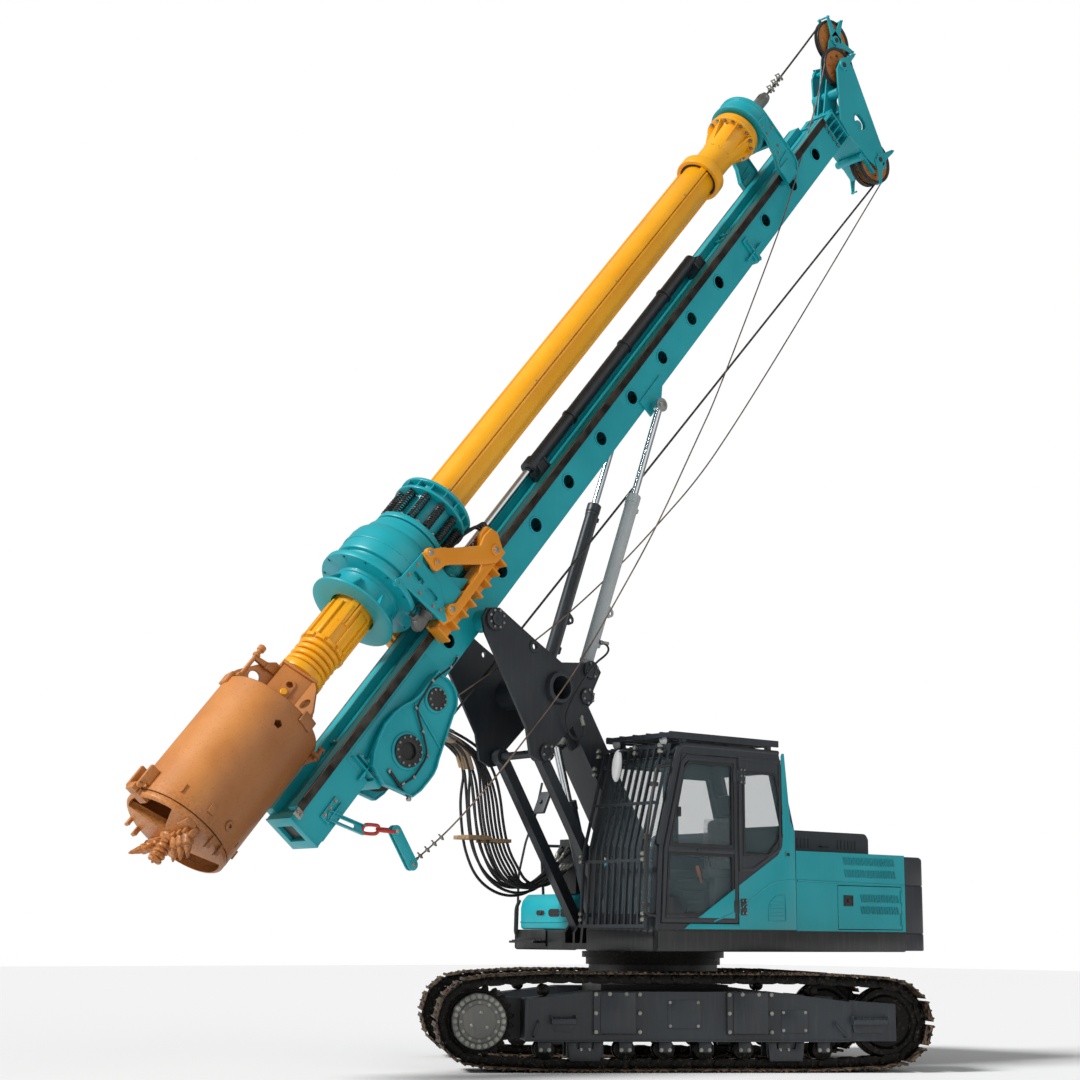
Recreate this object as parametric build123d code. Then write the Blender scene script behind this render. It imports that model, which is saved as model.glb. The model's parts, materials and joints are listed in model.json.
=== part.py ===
"""Rotary piling rig on crawler tracks.

Frame: +X forward of the slewing upper, +Y to its left, +Z up. The origin is on the
ground under the slewing axis. Lengths are in millimetres. The undercarriage is
turned by SLEW under the upper. Mast parts are drawn in a mast frame whose X points
forward off the mast, whose Z runs up the mast and whose origin is the mast's pin.
"""
from build123d import *
import math
import os

os.makedirs("parts", exist_ok=True)

# ---- driving dimensions ----
SLEW = 33.0                      # turn of the upper over the tracks, degrees
MAST_LEAN = 40.0                 # backward lean of the mast from upright, degrees
WIDTH_OVER_TRACKS = 2990.0
SHOE_WIDTH = 600.0
TRACK_THICKNESS = 125.0
BODY_HALF = 1390.0               # half width of the upper
DECK_LOW = 1140.0
DECK_TOP = 1335.0
HOOD_LINE = 2130.0               # top of the side housings
REAR = -2350.0                   # where the counterweight begins

MAST_PIN = (2450.0, 4280.0)      # x, z
LINK_FOOT = (720.0, 1300.0)
LINK_HEAD = (1790.0, 3030.0)
ARM_FOOT = (200.0, 1890.0)
ARM_HEAD = (1270.0, 3620.0)
TILT_FOOT = (1220.0, 3890.0)     # lower pin of the mast cylinders
LUFF_FOOT = (800.0, 1400.0)
LUFF_HEAD = (1325.0, 3195.0)

KELLY_OUT = 1040.0               # kelly axis forward of the mast pin
MAST_LOW = -2820.0
MAST_HIGH = 8300.0
MAST_HALF = 200.0                # half width of the mast box
MAST_BACK = -50.0
MAST_FRONT = 320.0
RAIL_HALF = 270.0
RAIL_FRONT = 400.0
TILT_HEAD = (-110.0, 3440.0)     # out, up: upper pin of the mast cylinders
CROWD_OUT = 500.0                # axis of the crowd cylinder
MAIN_DRUM = (-140.0, -1620.0)    # out, up
AUX_DRUM = (-60.0, -1020.0)

UNDER = Location((0, 0, 0), (0, 0, -SLEW))
MAST = Location((MAST_PIN[0], 0, MAST_PIN[1]), (0, -MAST_LEAN, 0))
LOW = (Align.CENTER, Align.CENTER, Align.MIN)


# ---- plain shapes ----
def block(x, y, z):
    """Box from three (low, high) pairs."""
    size = [high - low for low, high in (x, y, z)]
    middle = [(high + low) / 2 for low, high in (x, y, z)]
    return Pos(*middle) * Box(*size)


def plate(points, y):
    """Outline of (x, z) points made solid between two y values."""
    outline = Plane.XZ * make_face(Polyline(*points, close=True))
    return Pos(0, y[0], 0) * extrude(outline, amount=y[1] - y[0], dir=(0, 1, 0))


def slab(points, z):
    """Outline of (x, y) points made solid between two z values."""
    outline = make_face(Polyline(*points, close=True))
    return Pos(0, 0, z[0]) * extrude(outline, amount=z[1] - z[0])


def across(point, radius, y):
    """Cylinder along Y through an (x, z) point."""
    tube = Rot(-90, 0, 0) * Cylinder(radius, y[1] - y[0], align=LOW)
    return Pos(point[0], y[0], point[1]) * tube


def upright(point, radius, z):
    """Cylinder along Z through an (x, y) point."""
    return Pos(point[0], point[1], z[0]) * Cylinder(radius, z[1] - z[0], align=LOW)


def ring_on(point, rows):
    """Body turned about Z through an (x, y) point, from rows of radius, low, high."""
    body = upright(point, rows[0][0], rows[0][1:])
    for radius, low, high in rows[1:]:
        body = body + upright(point, radius, (low, high))
    return body


def both(shape):
    """A shape and its mirror in the middle plane."""
    return shape + mirror(shape, about=Plane.XZ)


def along(foot, head, start, end):
    """Points between two (x, z) pins at two distances from the foot."""
    run = math.dist(foot, head)
    step = [(head[i] - foot[i]) / run for i in (0, 1)]
    return [tuple(foot[i] + step[i] * way for i in (0, 1)) for way in (start, end)]


def beam(foot, head, depth, y, start=0.0, end=None):
    """Straight bar of rectangular section between two (x, z) pins."""
    run = math.dist(foot, head)
    low, high = along(foot, head, start, run if end is None else end)
    side = [(head[1] - foot[1]) / run * depth / 2, -(head[0] - foot[0]) / run * depth / 2]
    corners = [(low[0] + side[0], low[1] + side[1]), (high[0] + side[0], high[1] + side[1]),
               (high[0] - side[0], high[1] - side[1]), (low[0] - side[0], low[1] - side[1])]
    return plate(corners, y)


def tube_between(foot, head, y, radius, start, end):
    """Round bar between two (x, z) pins, centred on y."""
    low, high = along(foot, head, start, end)
    axis = Vector(high[0] - low[0], 0, high[1] - low[1])
    base = Plane(origin=(low[0], y, low[1]), z_dir=axis)
    return base * Cylinder(radius, axis.length, align=LOW)


def save(name, shape, place=None):
    """Write one node."""
    export_step(place * shape if place else shape, "parts/" + name + ".step")


# ---- undercarriage, x forward along the tracks ----
TRACK_MIDDLE = WIDTH_OVER_TRACKS / 2 - SHOE_WIDTH / 2
SPROCKET = (1906.0, 468.0)
IDLER = (-2080.0, 468.0)
ROLLER_HEIGHT = 207.0
ROLLER_RADIUS = 80.0
ROLLERS = (1274.0, 887.0, 500.0, 113.0, -274.0, -661.0, -1048.0, -1433.0)
CARRIERS = (1278.0, -1345.0)
CARRIER_HEIGHT = 760.0
TRACK_END = 435.0
TRACK_TOP = 940.0


def track_outline(inset):
    """Loop round the end wheels, the rollers and the carriers."""
    edges = []
    for point, radius in ((SPROCKET, TRACK_END), (IDLER, TRACK_END),
                          ((ROLLERS[0], ROLLER_HEIGHT), ROLLER_HEIGHT),
                          ((ROLLERS[-1], ROLLER_HEIGHT), ROLLER_HEIGHT),
                          ((CARRIERS[0], CARRIER_HEIGHT), TRACK_TOP - CARRIER_HEIGHT),
                          ((CARRIERS[1], CARRIER_HEIGHT), TRACK_TOP - CARRIER_HEIGHT)):
        edges += (Pos(*point) * Circle(radius - inset)).edges()
    return make_hull(edges)


def track():
    loop = track_outline(0.0) - track_outline(TRACK_THICKNESS)
    low = TRACK_MIDDLE - SHOE_WIDTH / 2
    return Pos(0, low, 0) * extrude(Plane.XZ * loop, amount=SHOE_WIDTH, dir=(0, 1, 0))


FRAME_SIDE = (960.0, 1400.0)     # y of the side frame
FORK = ((1010.0, 1050.0), (1340.0, 1380.0))


def side_frame():
    outline = [(1475, 290), (1475, 675), (850, 750), (-960, 750), (-1700, 660), (-1700, 290)]
    body = plate(outline, FRAME_SIDE)
    for side in FORK:
        body = body + plate([(-1690, 290), (-1690, 675), (-2150, 641), (-2150, 290)], side)
    motor_plate = plate([(1470, 300), (1470, 680), (1906, 700), (2080, 468), (1906, 240)],
                        (FRAME_SIDE[0], 1010))
    covers = block((420, 816), (1400, 1440), (356, 745)) + block((-875, -478), (1400, 1440), (356, 745))
    guards = block((709, 1064), (1060, 1090), (135, 295)) + block((-1244, -884), (1060, 1090), (135, 295))
    guards = guards + mirror(guards, about=Plane.XZ.offset(-TRACK_MIDDLE))
    return body + motor_plate + covers + guards


def sprocket():
    wheel = across(SPROCKET, 300, (1150, 1240))
    hub = across(SPROCKET, 253, (1240, 1430)) + across(SPROCKET, 200, (1012, 1150))
    return wheel + hub + across(SPROCKET, 170, (1430, 1450))


def idler():
    wheel = across(IDLER, 300, (1110, 1280))
    return wheel + across(IDLER, 90, (1052, 1338))


def rollers():
    body = Part()
    for x in ROLLERS:
        body = body + across((x, ROLLER_HEIGHT), ROLLER_RADIUS, (1095, 1295))
    return body


def carriers():
    body = Part()
    for x in CARRIERS:
        body = body + across((x, CARRIER_HEIGHT), 53, (1110, 1280))
    return body


def centre_frame():
    body = block((-640, 640), (-700, 700), (330, 800))
    for x in (-470, 470):
        body = body + block((x - 170, x + 170), (-FRAME_SIDE[0], FRAME_SIDE[0]), (380, 700))
    return body + upright((0, 0), 660, (800, 990))


def undercarriage():
    for side, turned in (("left", False), ("right", True)):
        for name, shape in (("track_", track()), ("side_frame_", side_frame())):
            save(name + side, mirror(shape, about=Plane.XZ) if turned else shape, UNDER)
    save("sprockets", both(sprocket()), UNDER)
    save("idlers", both(idler()), UNDER)
    save("track_rollers", both(rollers()), UNDER)
    save("carrier_rollers", both(carriers()), UNDER)
    save("centre_frame", centre_frame(), UNDER)
    save("slewing_ring", ring_on((0, 0), ((730, 1060, 1120), (690, 990, 1060))), UNDER)


# ---- upper frame and its lugs ----
LUG_INNER = (210.0, 240.0)       # y of the plates each side of the boom arm
LUG_OUTER = (360.0, 390.0)
LINK_Y = (250.0, 350.0)
ARM_HALF = 200.0
PIN = 45.0
PIN_GAP = 1.0
CYLINDER_HALF = 75.0


def upper_frame():
    deck = slab([(REAR, -BODY_HALF), (700, -BODY_HALF), (700, -400), (450, -400), (450, 400),
                 (1250, 400), (1250, BODY_HALF), (REAR, BODY_HALF)], (DECK_LOW, DECK_TOP))
    deck = deck + upright((0, 0), 690, (1125, DECK_LOW))
    deck = deck + block((400, 900), (-LUG_OUTER[1], LUG_OUTER[1]), (DECK_LOW, 1200))
    lug = [(-250, DECK_LOW), (-250, 1450), (60, 1990), (210, 2040), (340, 1980), (420, 1800),
           (800, 1400), (880, 1300), (880, DECK_LOW)]
    lugs = plate(lug, LUG_INNER) + plate(lug, LUG_OUTER)
    lugs = both(lugs) - across(ARM_FOOT, PIN + PIN_GAP, (-500, 500))
    lugs = lugs + both(across(LINK_FOOT, 40, LUG_INNER[:1] + LUG_OUTER[1:]))
    eye = [(560, DECK_LOW), (560, 1300), (740, 1480), (860, 1480), (890, 1200), (890, DECK_LOW)]
    lugs = lugs + both(plate(eye, (85, 120))) + across(LUFF_FOOT, 40, (-120, 120))
    bulkhead = block((-720, -680), (-450, 450), (DECK_TOP, HOOD_LINE - 10))
    return deck + lugs + bulkhead


# ---- cab ----
CAB_Y = (410.0, BODY_HALF)
WALL = 50.0
CAB_FRONT = ((1250.0, DECK_TOP + 1), (1200.0, 2100.0), (910.0, 3110.0))
CAB_BACK = ((-450.0, 3110.0), (-665.0, 2340.0), (-665.0, DECK_TOP + 1))
DOOR = [(145, 1400), (1178, 1400), (1140, 2100), (890, 3010), (145, 3010)]
DOOR_UPPER = [(205, 2130), (1065, 2130), (850, 2945), (205, 2945)]
DOOR_LOWER = [(205, 1470), (1110, 1470), (1075, 2060), (205, 2060)]
REAR_SIDE = [(60, 2060), (60, 2890), (-400, 2890), (-560, 2330), (-300, 2060)]
GLASS = (18.0, 26.0)             # depth of a pane under the wall's outer face
GAP = 8.0
KNUCKLE = 16.0                   # radius of a door's hinge knuckle
KNUCKLE_LENGTH = 120.0
DOOR_HINGE = (145.0, BODY_HALF)
DOOR_HINGES = (1500.0, 2780.0)


def front_x(z):
    """x of the cab's front at a height."""
    low, knee, top = CAB_FRONT
    a, b = (low, knee) if z <= knee[1] else (knee, top)
    return a[0] + (b[0] - a[0]) * (z - a[1]) / (b[1] - a[1])


def strip(shift, thickness, z, y):
    """Sheet that follows the cab's front at a distance ahead of it."""
    heights = [z[0], CAB_FRONT[1][1], z[1]]
    outer = [(front_x(h) + shift + thickness, h) for h in heights]
    inner = [(front_x(h) + shift, h) for h in reversed(heights)]
    return plate(outer + inner, y)


def grown(points, grow):
    """Outline pushed outwards from its middle."""
    outline = make_face(Polyline(*points, close=True))
    return offset(outline, amount=grow, kind=Kind.INTERSECTION)


def cab_shell():
    """Hollow cab with its window and door openings."""
    outer = plate(CAB_FRONT + CAB_BACK, CAB_Y)
    core = Plane.XZ * grown(CAB_FRONT + CAB_BACK, -WALL)
    core = Pos(0, CAB_Y[0] + WALL, 0) * extrude(core, amount=CAB_Y[1] - CAB_Y[0] - 2 * WALL, dir=(0, 1, 0))
    shell = outer - core
    opening = Plane.XZ * grown(DOOR, GAP)
    shell = shell - Pos(0, CAB_Y[1] - 80, 0) * extrude(opening, amount=120, dir=(0, 1, 0))
    shell = shell - plate(REAR_SIDE, (CAB_Y[1] - 80, CAB_Y[1] + 20))
    for outline in (REAR_SIDE, DOOR_UPPER, DOOR_LOWER):
        shell = shell - plate(outline, (CAB_Y[0] - 20, CAB_Y[0] + 80))
    for z in DOOR_HINGES:
        shell = shell - upright(DOOR_HINGE, KNUCKLE + GAP, (z - GAP, z + KNUCKLE_LENGTH + GAP))
    shell = shell - block((750, 1400), (490, 1310), (1480, 2995))
    return shell - block((-760, -450), (560, 1240), (2380, 2900))


def cab_windows():
    """Front, back, right and rear left panes."""
    panes = strip(-GLASS[1], GLASS[1] - GLASS[0], (1480, 2995), (490, 1310))
    left = (CAB_Y[1] - GLASS[1], CAB_Y[1] - GLASS[0])
    right = (CAB_Y[0] + GLASS[0], CAB_Y[0] + GLASS[1])
    panes = panes + plate(REAR_SIDE, left)
    for outline in (REAR_SIDE, DOOR_UPPER, DOOR_LOWER):
        panes = panes + plate(outline, right)
    slope = (CAB_BACK[1][0] - CAB_BACK[0][0]) / (CAB_BACK[1][1] - CAB_BACK[0][1])
    low, high = [CAB_BACK[0][0] + (z - CAB_BACK[0][1]) * slope for z in (2380, 2900)]
    back = plate([(low + GLASS[0], 2380), (low + GLASS[1], 2380),
                  (high + GLASS[1], 2900), (high + GLASS[0], 2900)], (560, 1240))
    return panes + back


def cab_door():
    """Door frame with the knuckles it swings on."""
    door = plate(DOOR, (CAB_Y[1] - WALL, CAB_Y[1])) - door_panes(0, WALL)
    for z in DOOR_HINGES:
        door = door + upright(DOOR_HINGE, KNUCKLE, (z, z + KNUCKLE_LENGTH))
    return door


def door_panes(low, high):
    """The door's two panes between two depths under its face."""
    span = (CAB_Y[1] - high, CAB_Y[1] - low)
    return plate(DOOR_UPPER, span) + plate(DOOR_LOWER, span)


def front_guard():
    """Upright bars ahead of the front window."""
    ahead = 100.0
    span = (CAB_Y[0] + 20, CAB_Y[1] - 20)
    guard = Part()
    bars = 11
    for i in range(bars):
        y = span[0] + (span[1] - span[0] - 22) * i / (bars - 1)
        guard = guard + strip(ahead, 28, (1350, 3105), (y, y + 22))
    for z in (1365, 1980, 2530, 3080):
        x = front_x(z) + ahead
        guard = guard + block((x - 2, x + 30), span, (z - 15, z + 15))
    for y in (span[0], span[1] - 60):
        for z in (1450, 2900):
            guard = guard + block((front_x(z), front_x(z) + ahead + 8), (y, y + 60), (z, z + 40))
    return guard


def roof_guard():
    """Grille over the roof."""
    guard = Part()
    for y in (430, 625, 820, 1015, 1210, 1345):
        guard = guard + block((-480, 1020), (y, y + 25), (3160, 3225))
    for x in (-480, -100, 280, 660, 995):
        guard = guard + block((x, x + 30), (430, 1370), (3170, 3215))
    for x in (-380, 800):
        for y in (440, 1320):
            guard = guard + block((x, x + 60), (y, y + 40), (3110, 3170))
    return guard


def cab_interior():
    """Seat, display console and the two armrests with their controls."""
    seat = block((-180, 330), (650, 1150), (1700, 1830)) + block((-260, -120), (650, 1150), (1780, 2480))
    seat = seat + block((-80, 250), (750, 1050), (1386, 1700)) + block((-230, -130), (770, 1030), (2480, 2700))
    console = block((850, 1100), (520, 760), (1386, 2050))
    left_arm = block((-50, 420), (1175, 1290), (1386, 1960))
    right_arm = block((-50, 420), (500, 625), (1386, 1960))
    return seat + console + left_arm + right_arm


# ---- machinery housings ----
HOUSING_WALL = 40.0
HOUSING_X = (REAR + 5, -685.0)
HOUSING_Y = (450.0, BODY_HALF)
SERVICE_DOOR_X = (-2280.0, -1300.0)
SERVICE_DOOR_Z = (1360.0, 1795.0)
SERVICE_HINGES = (1400.0, 1630.0)


def housing():
    """Left housing, open at its service door."""
    x, y, z = HOUSING_X, HOUSING_Y, (DECK_TOP, HOOD_LINE)
    body = block(x, y, z)
    body = body - block((x[0] + HOUSING_WALL, x[1] - HOUSING_WALL), (y[0] + HOUSING_WALL, y[1] - HOUSING_WALL),
                        (z[0] - 5, z[1] - HOUSING_WALL))
    door = SERVICE_DOOR_X
    body = body - block((door[0] - GAP, door[1] + GAP), (y[1] - 60, y[1] + 10),
                        (SERVICE_DOOR_Z[0] - GAP, SERVICE_DOOR_Z[1] + GAP))
    for z in SERVICE_HINGES:
        body = body - upright((door[0], y[1]), KNUCKLE + GAP, (z - GAP, z + KNUCKLE_LENGTH + GAP))
    return body


def service_door():
    """Left service door with its knuckles."""
    door = block(SERVICE_DOOR_X, (BODY_HALF - HOUSING_WALL, BODY_HALF), SERVICE_DOOR_Z)
    for z in SERVICE_HINGES:
        door = door + upright((SERVICE_DOOR_X[0], BODY_HALF), KNUCKLE, (z, z + KNUCKLE_LENGTH))
    return door


HOOD_X = (-2290.0, -850.0)
HOOD_HALF = 950.0
HOOD_Z = (HOOD_LINE + 6, 2370.0)


def engine_hood():
    """Raised lid over the engine, hinged at its front edge."""
    rim = [(HOOD_X[0], HOOD_Z[0]), (HOOD_X[0], 2320), (HOOD_X[0] + 60, HOOD_Z[1]),
           (HOOD_X[1] - 60, HOOD_Z[1]), (HOOD_X[1], 2330), (HOOD_X[1], HOOD_Z[0])]
    body = plate(rim, (-HOOD_HALF, HOOD_HALF))
    body = body - block((HOOD_X[0] + 35, HOOD_X[1] - 35), (35 - HOOD_HALF, HOOD_HALF - 35), (2100, 2330))
    return body + both(across((HOOD_X[1], HOOD_Z[0]), KNUCKLE, (280, 280 + KNUCKLE_LENGTH)))


def counterweight():
    """Cast weight with a curved back."""
    side = -2670.0
    wall = ThreePointArc((side, -BODY_HALF), (-2850, 0), (side, BODY_HALF))
    rest = Polyline((side, BODY_HALF), (REAR, BODY_HALF), (REAR, -BODY_HALF), (side, -BODY_HALF))
    body = Pos(0, 0, DECK_LOW) * extrude(make_face([wall, rest]), amount=2120 - DECK_LOW)
    corners = [e for e in body.edges().filter_by(Axis.Z) if e.center().X < side + 1]
    body = fillet(corners, 110)
    rim = [e for e in body.edges() if e.center().Z > 2119 and e.center().X < REAR - 10]
    return chamfer(rim, 25)


def front_box():
    """Right front box with the tank behind it and its step."""
    outline = [(715, DECK_TOP + 1), (715, 1610), (640, 1700), (-80, 1700), (-80, DECK_TOP + 1)]
    box = plate(outline, (-1300, -420))
    tank = block((-640, -100), (-BODY_HALF, -420), (DECK_TOP + 1, 2080))
    step = block((716, 900), (-1250, -850), (1180, 1220)) + block((700, 720), (-1250, -850), (1160, 1330))
    return box + tank + step


# ---- hydraulic hoses between the deck and the mast ----
HOSE = 15.0                      # hose radius
# x, z of the middle hose's points and how far each further hose stands out from it
HOSE_ROUTE = (
    (2400, 3230, 0, 12), (2140, 3150, -8, -8), (2000, 2930, -18, -6), (1985, 2650, 12, 0),
    (1960, 2370, 14, 0), (1905, 2110, 16, -4), (1740, 1860, 20, -16), (1480, 1730, 4, -26),
    (1190, 1745, -10, -28), (950, 1890, -18, -18), (760, 2090, -16, 8))
HOSES = ((-490.0, -1.5), (-550.0, 1.5), (-610.0, -0.5), (-670.0, 2.5))   # y, spread


def hose_path(y, spread):
    """Straight runs joined by arcs as large as the runs allow."""
    points = [Vector(x + spread * dx, y, z + spread * dz) for x, z, dx, dz in HOSE_ROUTE]
    radii = []
    for before, at, after in zip(points, points[1:], points[2:]):
        turn = math.radians((at - before).get_angle(after - at))
        shorter = min((at - before).length, (after - at).length)
        radii.append(0.45 * shorter / math.tan(turn / 2))
    return FilletPolyline(*points, radius=radii), radii


def hose(y, spread):
    path, radii = hose_path(y, spread)
    print("hose at", y, "length", round(path.length), "radii", [round(r) for r in radii])
    tube = sweep(Plane(origin=path @ 0, z_dir=path % 0) * Circle(HOSE), path=path)
    print("volume over section times length", round(tube.volume / (math.pi * HOSE ** 2 * path.length), 4))
    return tube


def hose_clamp(tubes):
    board = block((1780, 2060), (-700, -460), (2215, 2250))
    for tube in tubes:
        board = board - tube
    return board


def hose_bulkhead(y, spread):
    """Coupling on the stand behind the end of one hose."""
    path, _ = hose_path(y, spread)
    return Plane(origin=path @ 1, z_dir=path % 1) * Cylinder(22, 90, align=LOW)


def hoses():
    tubes = [hose(*row) for row in HOSES]
    for number, tube in enumerate(tubes, 1):
        save("hose_" + str(number), tube)
    save("hose_clamp", hose_clamp(tubes))
    stand = block((600, 660), (-710, -450), (1700, 2260))
    for row in HOSES:
        stand = stand + hose_bulkhead(*row)
    for tube in tubes:
        stand = stand - tube
    save("hose_stand", stand)


# ---- boom: arm, links, triangle and luffing cylinder ----
ARM_DEPTH = 290.0
LUG_AHEAD = 180.0                # luffing cylinder's lugs ahead of the arm's middle line


def boom_arm():
    """Box arm with lugs for the luffing cylinder and the pins at both ends."""
    run = math.dist(ARM_FOOT, ARM_HEAD)
    half = (-ARM_HALF, ARM_HALF)
    arm = beam(ARM_FOOT, ARM_HEAD, ARM_DEPTH, half)
    arm = arm + across(ARM_FOOT, 110, half) + across(ARM_HEAD, 135, half)
    lugs = beam(ARM_FOOT, ARM_HEAD, 90, (88, 125), 1560, 1850)
    ahead_x = (ARM_HEAD[1] - ARM_FOOT[1]) / run * LUG_AHEAD
    ahead_z = -(ARM_HEAD[0] - ARM_FOOT[0]) / run * LUG_AHEAD
    arm = arm + both(Pos(ahead_x, 0, ahead_z) * lugs)
    return arm + across(ARM_FOOT, PIN, (-395, 395)) + across(ARM_HEAD, PIN, (-440, 440))


def boom_links():
    """The pair of tie links ahead of the arm."""
    link = beam(LINK_FOOT, LINK_HEAD, 110, LINK_Y)
    link = link + across(LINK_FOOT, 72, LINK_Y) + across(LINK_HEAD, 80, LINK_Y)
    return both(link - across(LINK_FOOT, 41, (200, 400)) - across(LINK_HEAD, 41, (200, 400)))


TRIANGLE = [(2390, 4400), (2540, 4385), (2600, 4280), (2570, 4150), (2040, 3250), (1990, 2990),
            (1850, 2930), (1720, 2960), (1690, 3080), (1200, 3560), (1180, 3690), (1080, 3880),
            (1150, 3970), (1600, 3935), (1960, 4140)]
TRIANGLE_Y = (385.0, 415.0)
CROSS_TUBE = (1647.0, 3674.0)
LIFTING_EYE = (1950.0, 4060.0)
LIFTING_HOLE = 30.0


def triangle_frame():
    """Two plates joined by the cross tube, with the pins of all that hangs on them."""
    face = TRIANGLE_Y[1]
    plates = both(plate(TRIANGLE, TRIANGLE_Y) - across(ARM_HEAD, PIN + PIN_GAP, (300, 500)))
    plates = plates + across(CROSS_TUBE, 155, (-face - 60, face + 60))
    plates = plates - across(CROSS_TUBE, 115, (-600, 600))
    pins = across(LINK_HEAD, 40, (-face - 25, face + 25))
    pins = pins + both(across(TILT_FOOT, 40, (235, face + 25)))
    pins = pins + both(across(MAST_PIN, 75, (362, face + 30)))
    plates = plates - across(LIFTING_EYE, LIFTING_HOLE, (-500, 500))
    return plates + pins - across(MAST_PIN, 51, (-500, 500))


def cylinder_barrel(foot, head, y, radius, length, eye):
    """Barrel with its foot eye and gland."""
    body = tube_between(foot, head, y, radius, 60, length)
    body = body + tube_between(foot, head, y, radius + 8, length - 90, length)
    body = body - tube_between(foot, head, y, radius * 0.55 + 2, 150, length + 5)
    body = body + across(foot, eye, (y - radius, y + radius))
    return body - across(foot, 41, (y - 200, y + 200))


def cylinder_rod(foot, head, y, radius, start, eye, half):
    """Rod with its head eye."""
    run = math.dist(foot, head)
    body = tube_between(foot, head, y, radius * 0.55, start, run - 30)
    return body + across(head, eye, (y - half, y + half))


def luff_barrel():
    return cylinder_barrel(LUFF_FOOT, LUFF_HEAD, 0, CYLINDER_HALF, 1250, 75)


def luff_rod():
    return cylinder_rod(LUFF_FOOT, LUFF_HEAD, 0, CYLINDER_HALF, 650, 62, 60)


TILT_Y = 314.0
TILT_RADIUS = 68.0
TILT_BARREL = 2030.0             # length of a mast cylinder's barrel


def tilt_head_point():
    """The mast cylinders' upper pin in the row frame."""
    lean = math.radians(MAST_LEAN)
    out, up = TILT_HEAD
    return (MAST_PIN[0] + out * math.cos(lean) - up * math.sin(lean),
            MAST_PIN[1] + out * math.sin(lean) + up * math.cos(lean))


def mast_cylinder_barrels():
    return both(cylinder_barrel(TILT_FOOT, tilt_head_point(), TILT_Y, TILT_RADIUS, TILT_BARREL, 80))


def mast_cylinder_rods():
    return both(cylinder_rod(TILT_FOOT, tilt_head_point(), TILT_Y, TILT_RADIUS, 1230, 75, 37))


# ---- mast: x is out from the mast, z up the mast ----
MAST_HOLES = (-430, 570, 1250, 1920, 2610, 3290, 3980, 4670, 5340, 6530, 7250, 7880)
WINCH_UP = (-2080.0, -720.0)
SPLICE_FRONT = 235.0             # short of the shoes that pass on the rails
EAR_Y = (270.0, 300.0)
EAR = [(110, -760), (110, -1980), (-150, -2060), (-420, -1960), (-560, -1760), (-570, -1560),
       (-430, -1240), (-330, -900), (-200, -760), (-20, -715)]


def mast_box():
    """Box mast with its round holes, foot, splice, trunnions and cylinder ears."""
    body = block((MAST_BACK, MAST_FRONT), (-MAST_HALF, MAST_HALF), (MAST_LOW, MAST_HIGH))
    body = body - block((MAST_BACK + 16, MAST_FRONT - 16), (16 - MAST_HALF, MAST_HALF - 16),
                        (MAST_LOW + 80, MAST_HIGH - 30))
    body = body - block((60, 250), (-120, 120), (MAST_LOW - 10, MAST_LOW + 90))
    for up in MAST_HOLES:
        body = body - across((155, up), 80, (-300, 300))
    body = body - block((MAST_BACK - 10, 250), (-MAST_HALF - 10, MAST_HALF + 10), WINCH_UP)
    foot = block((-40, 350), (-MAST_HALF, MAST_HALF), (MAST_LOW - 80, MAST_LOW))
    foot = foot - block((60, 250), (-120, 120), (MAST_LOW - 90, MAST_LOW + 10))
    splice = block((MAST_BACK - 30, SPLICE_FRONT), (-MAST_HALF - 25, MAST_HALF + 25), (6000, 6100))
    splice = splice - block((MAST_BACK, MAST_FRONT + 5), (-MAST_HALF, MAST_HALF), (5990, 6110))
    trunnion = both(across((0, 0), 110, (MAST_HALF - 16, 355)))
    trunnion = trunnion + both(across((0, 0), 50, (355, TRIANGLE_Y[1] + 40)))
    ears = both(plate([(-150, 3330), (-150, 3560), (0, 3780), (60, 3780), (60, 3330)],
                      (MAST_HALF, MAST_HALF + 18)))
    return body + foot + splice + trunnion + ears


def mast_rails():
    """The two guide rails."""
    rail = block((MAST_FRONT, RAIL_FRONT), (130, RAIL_HALF), (MAST_LOW + 10, MAST_HIGH - 20))
    return both(rail)


def winch_housing():
    """Side ears that carry both drums, with the gearbox caps."""
    ear = plate(EAR, EAR_Y)
    rim = block((50, 110), (MAST_HALF, EAR_Y[0]), (-1980, -760))
    walls = block((-160, 245), (-EAR_Y[0], EAR_Y[0]), (WINCH_UP[0] + 2, WINCH_UP[0] + 42))
    walls = walls - block((MAST_BACK - 1, 400), (-400, 400), (-2300, -2048))
    caps = across(MAIN_DRUM, 155, (EAR_Y[1], EAR_Y[1] + 50)) + across(AUX_DRUM, 110, (EAR_Y[1], EAR_Y[1] + 50))
    shafts = across(MAIN_DRUM, 50, (-EAR_Y[0], EAR_Y[0])) + across(AUX_DRUM, 40, (-EAR_Y[0], EAR_Y[0]))
    return both(ear + rim + caps) + shafts + walls


def drum(centre, core, flange, shaft):
    """Rope drum between two flanges."""
    half = MAST_HALF - 10
    body = across(centre, core, (-half, half)) + both(across(centre, flange, (half - 18, half)))
    return body - across(centre, shaft + PIN_GAP, (-300, 300))


MAIN_TOP = (800.0, 9510.0)       # out, up
AUX_TOP = (587.0, 9180.0)
REAR_PULLEYS = (-570.0, 8770.0)
AUX_Y = 120.0
HEAD_Y = (190.0, 220.0)
HEAD = [(-700, 8640), (-720, 8800), (-600, 8930), (80, 9100), (640, 9640), (800, 9720),
        (940, 9640), (950, 9480), (620, 9000), (400, 8740), (320, 8545), (-50, 8545),
        (-80, 8330), (-240, 8240), (-560, 8560)]


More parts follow.
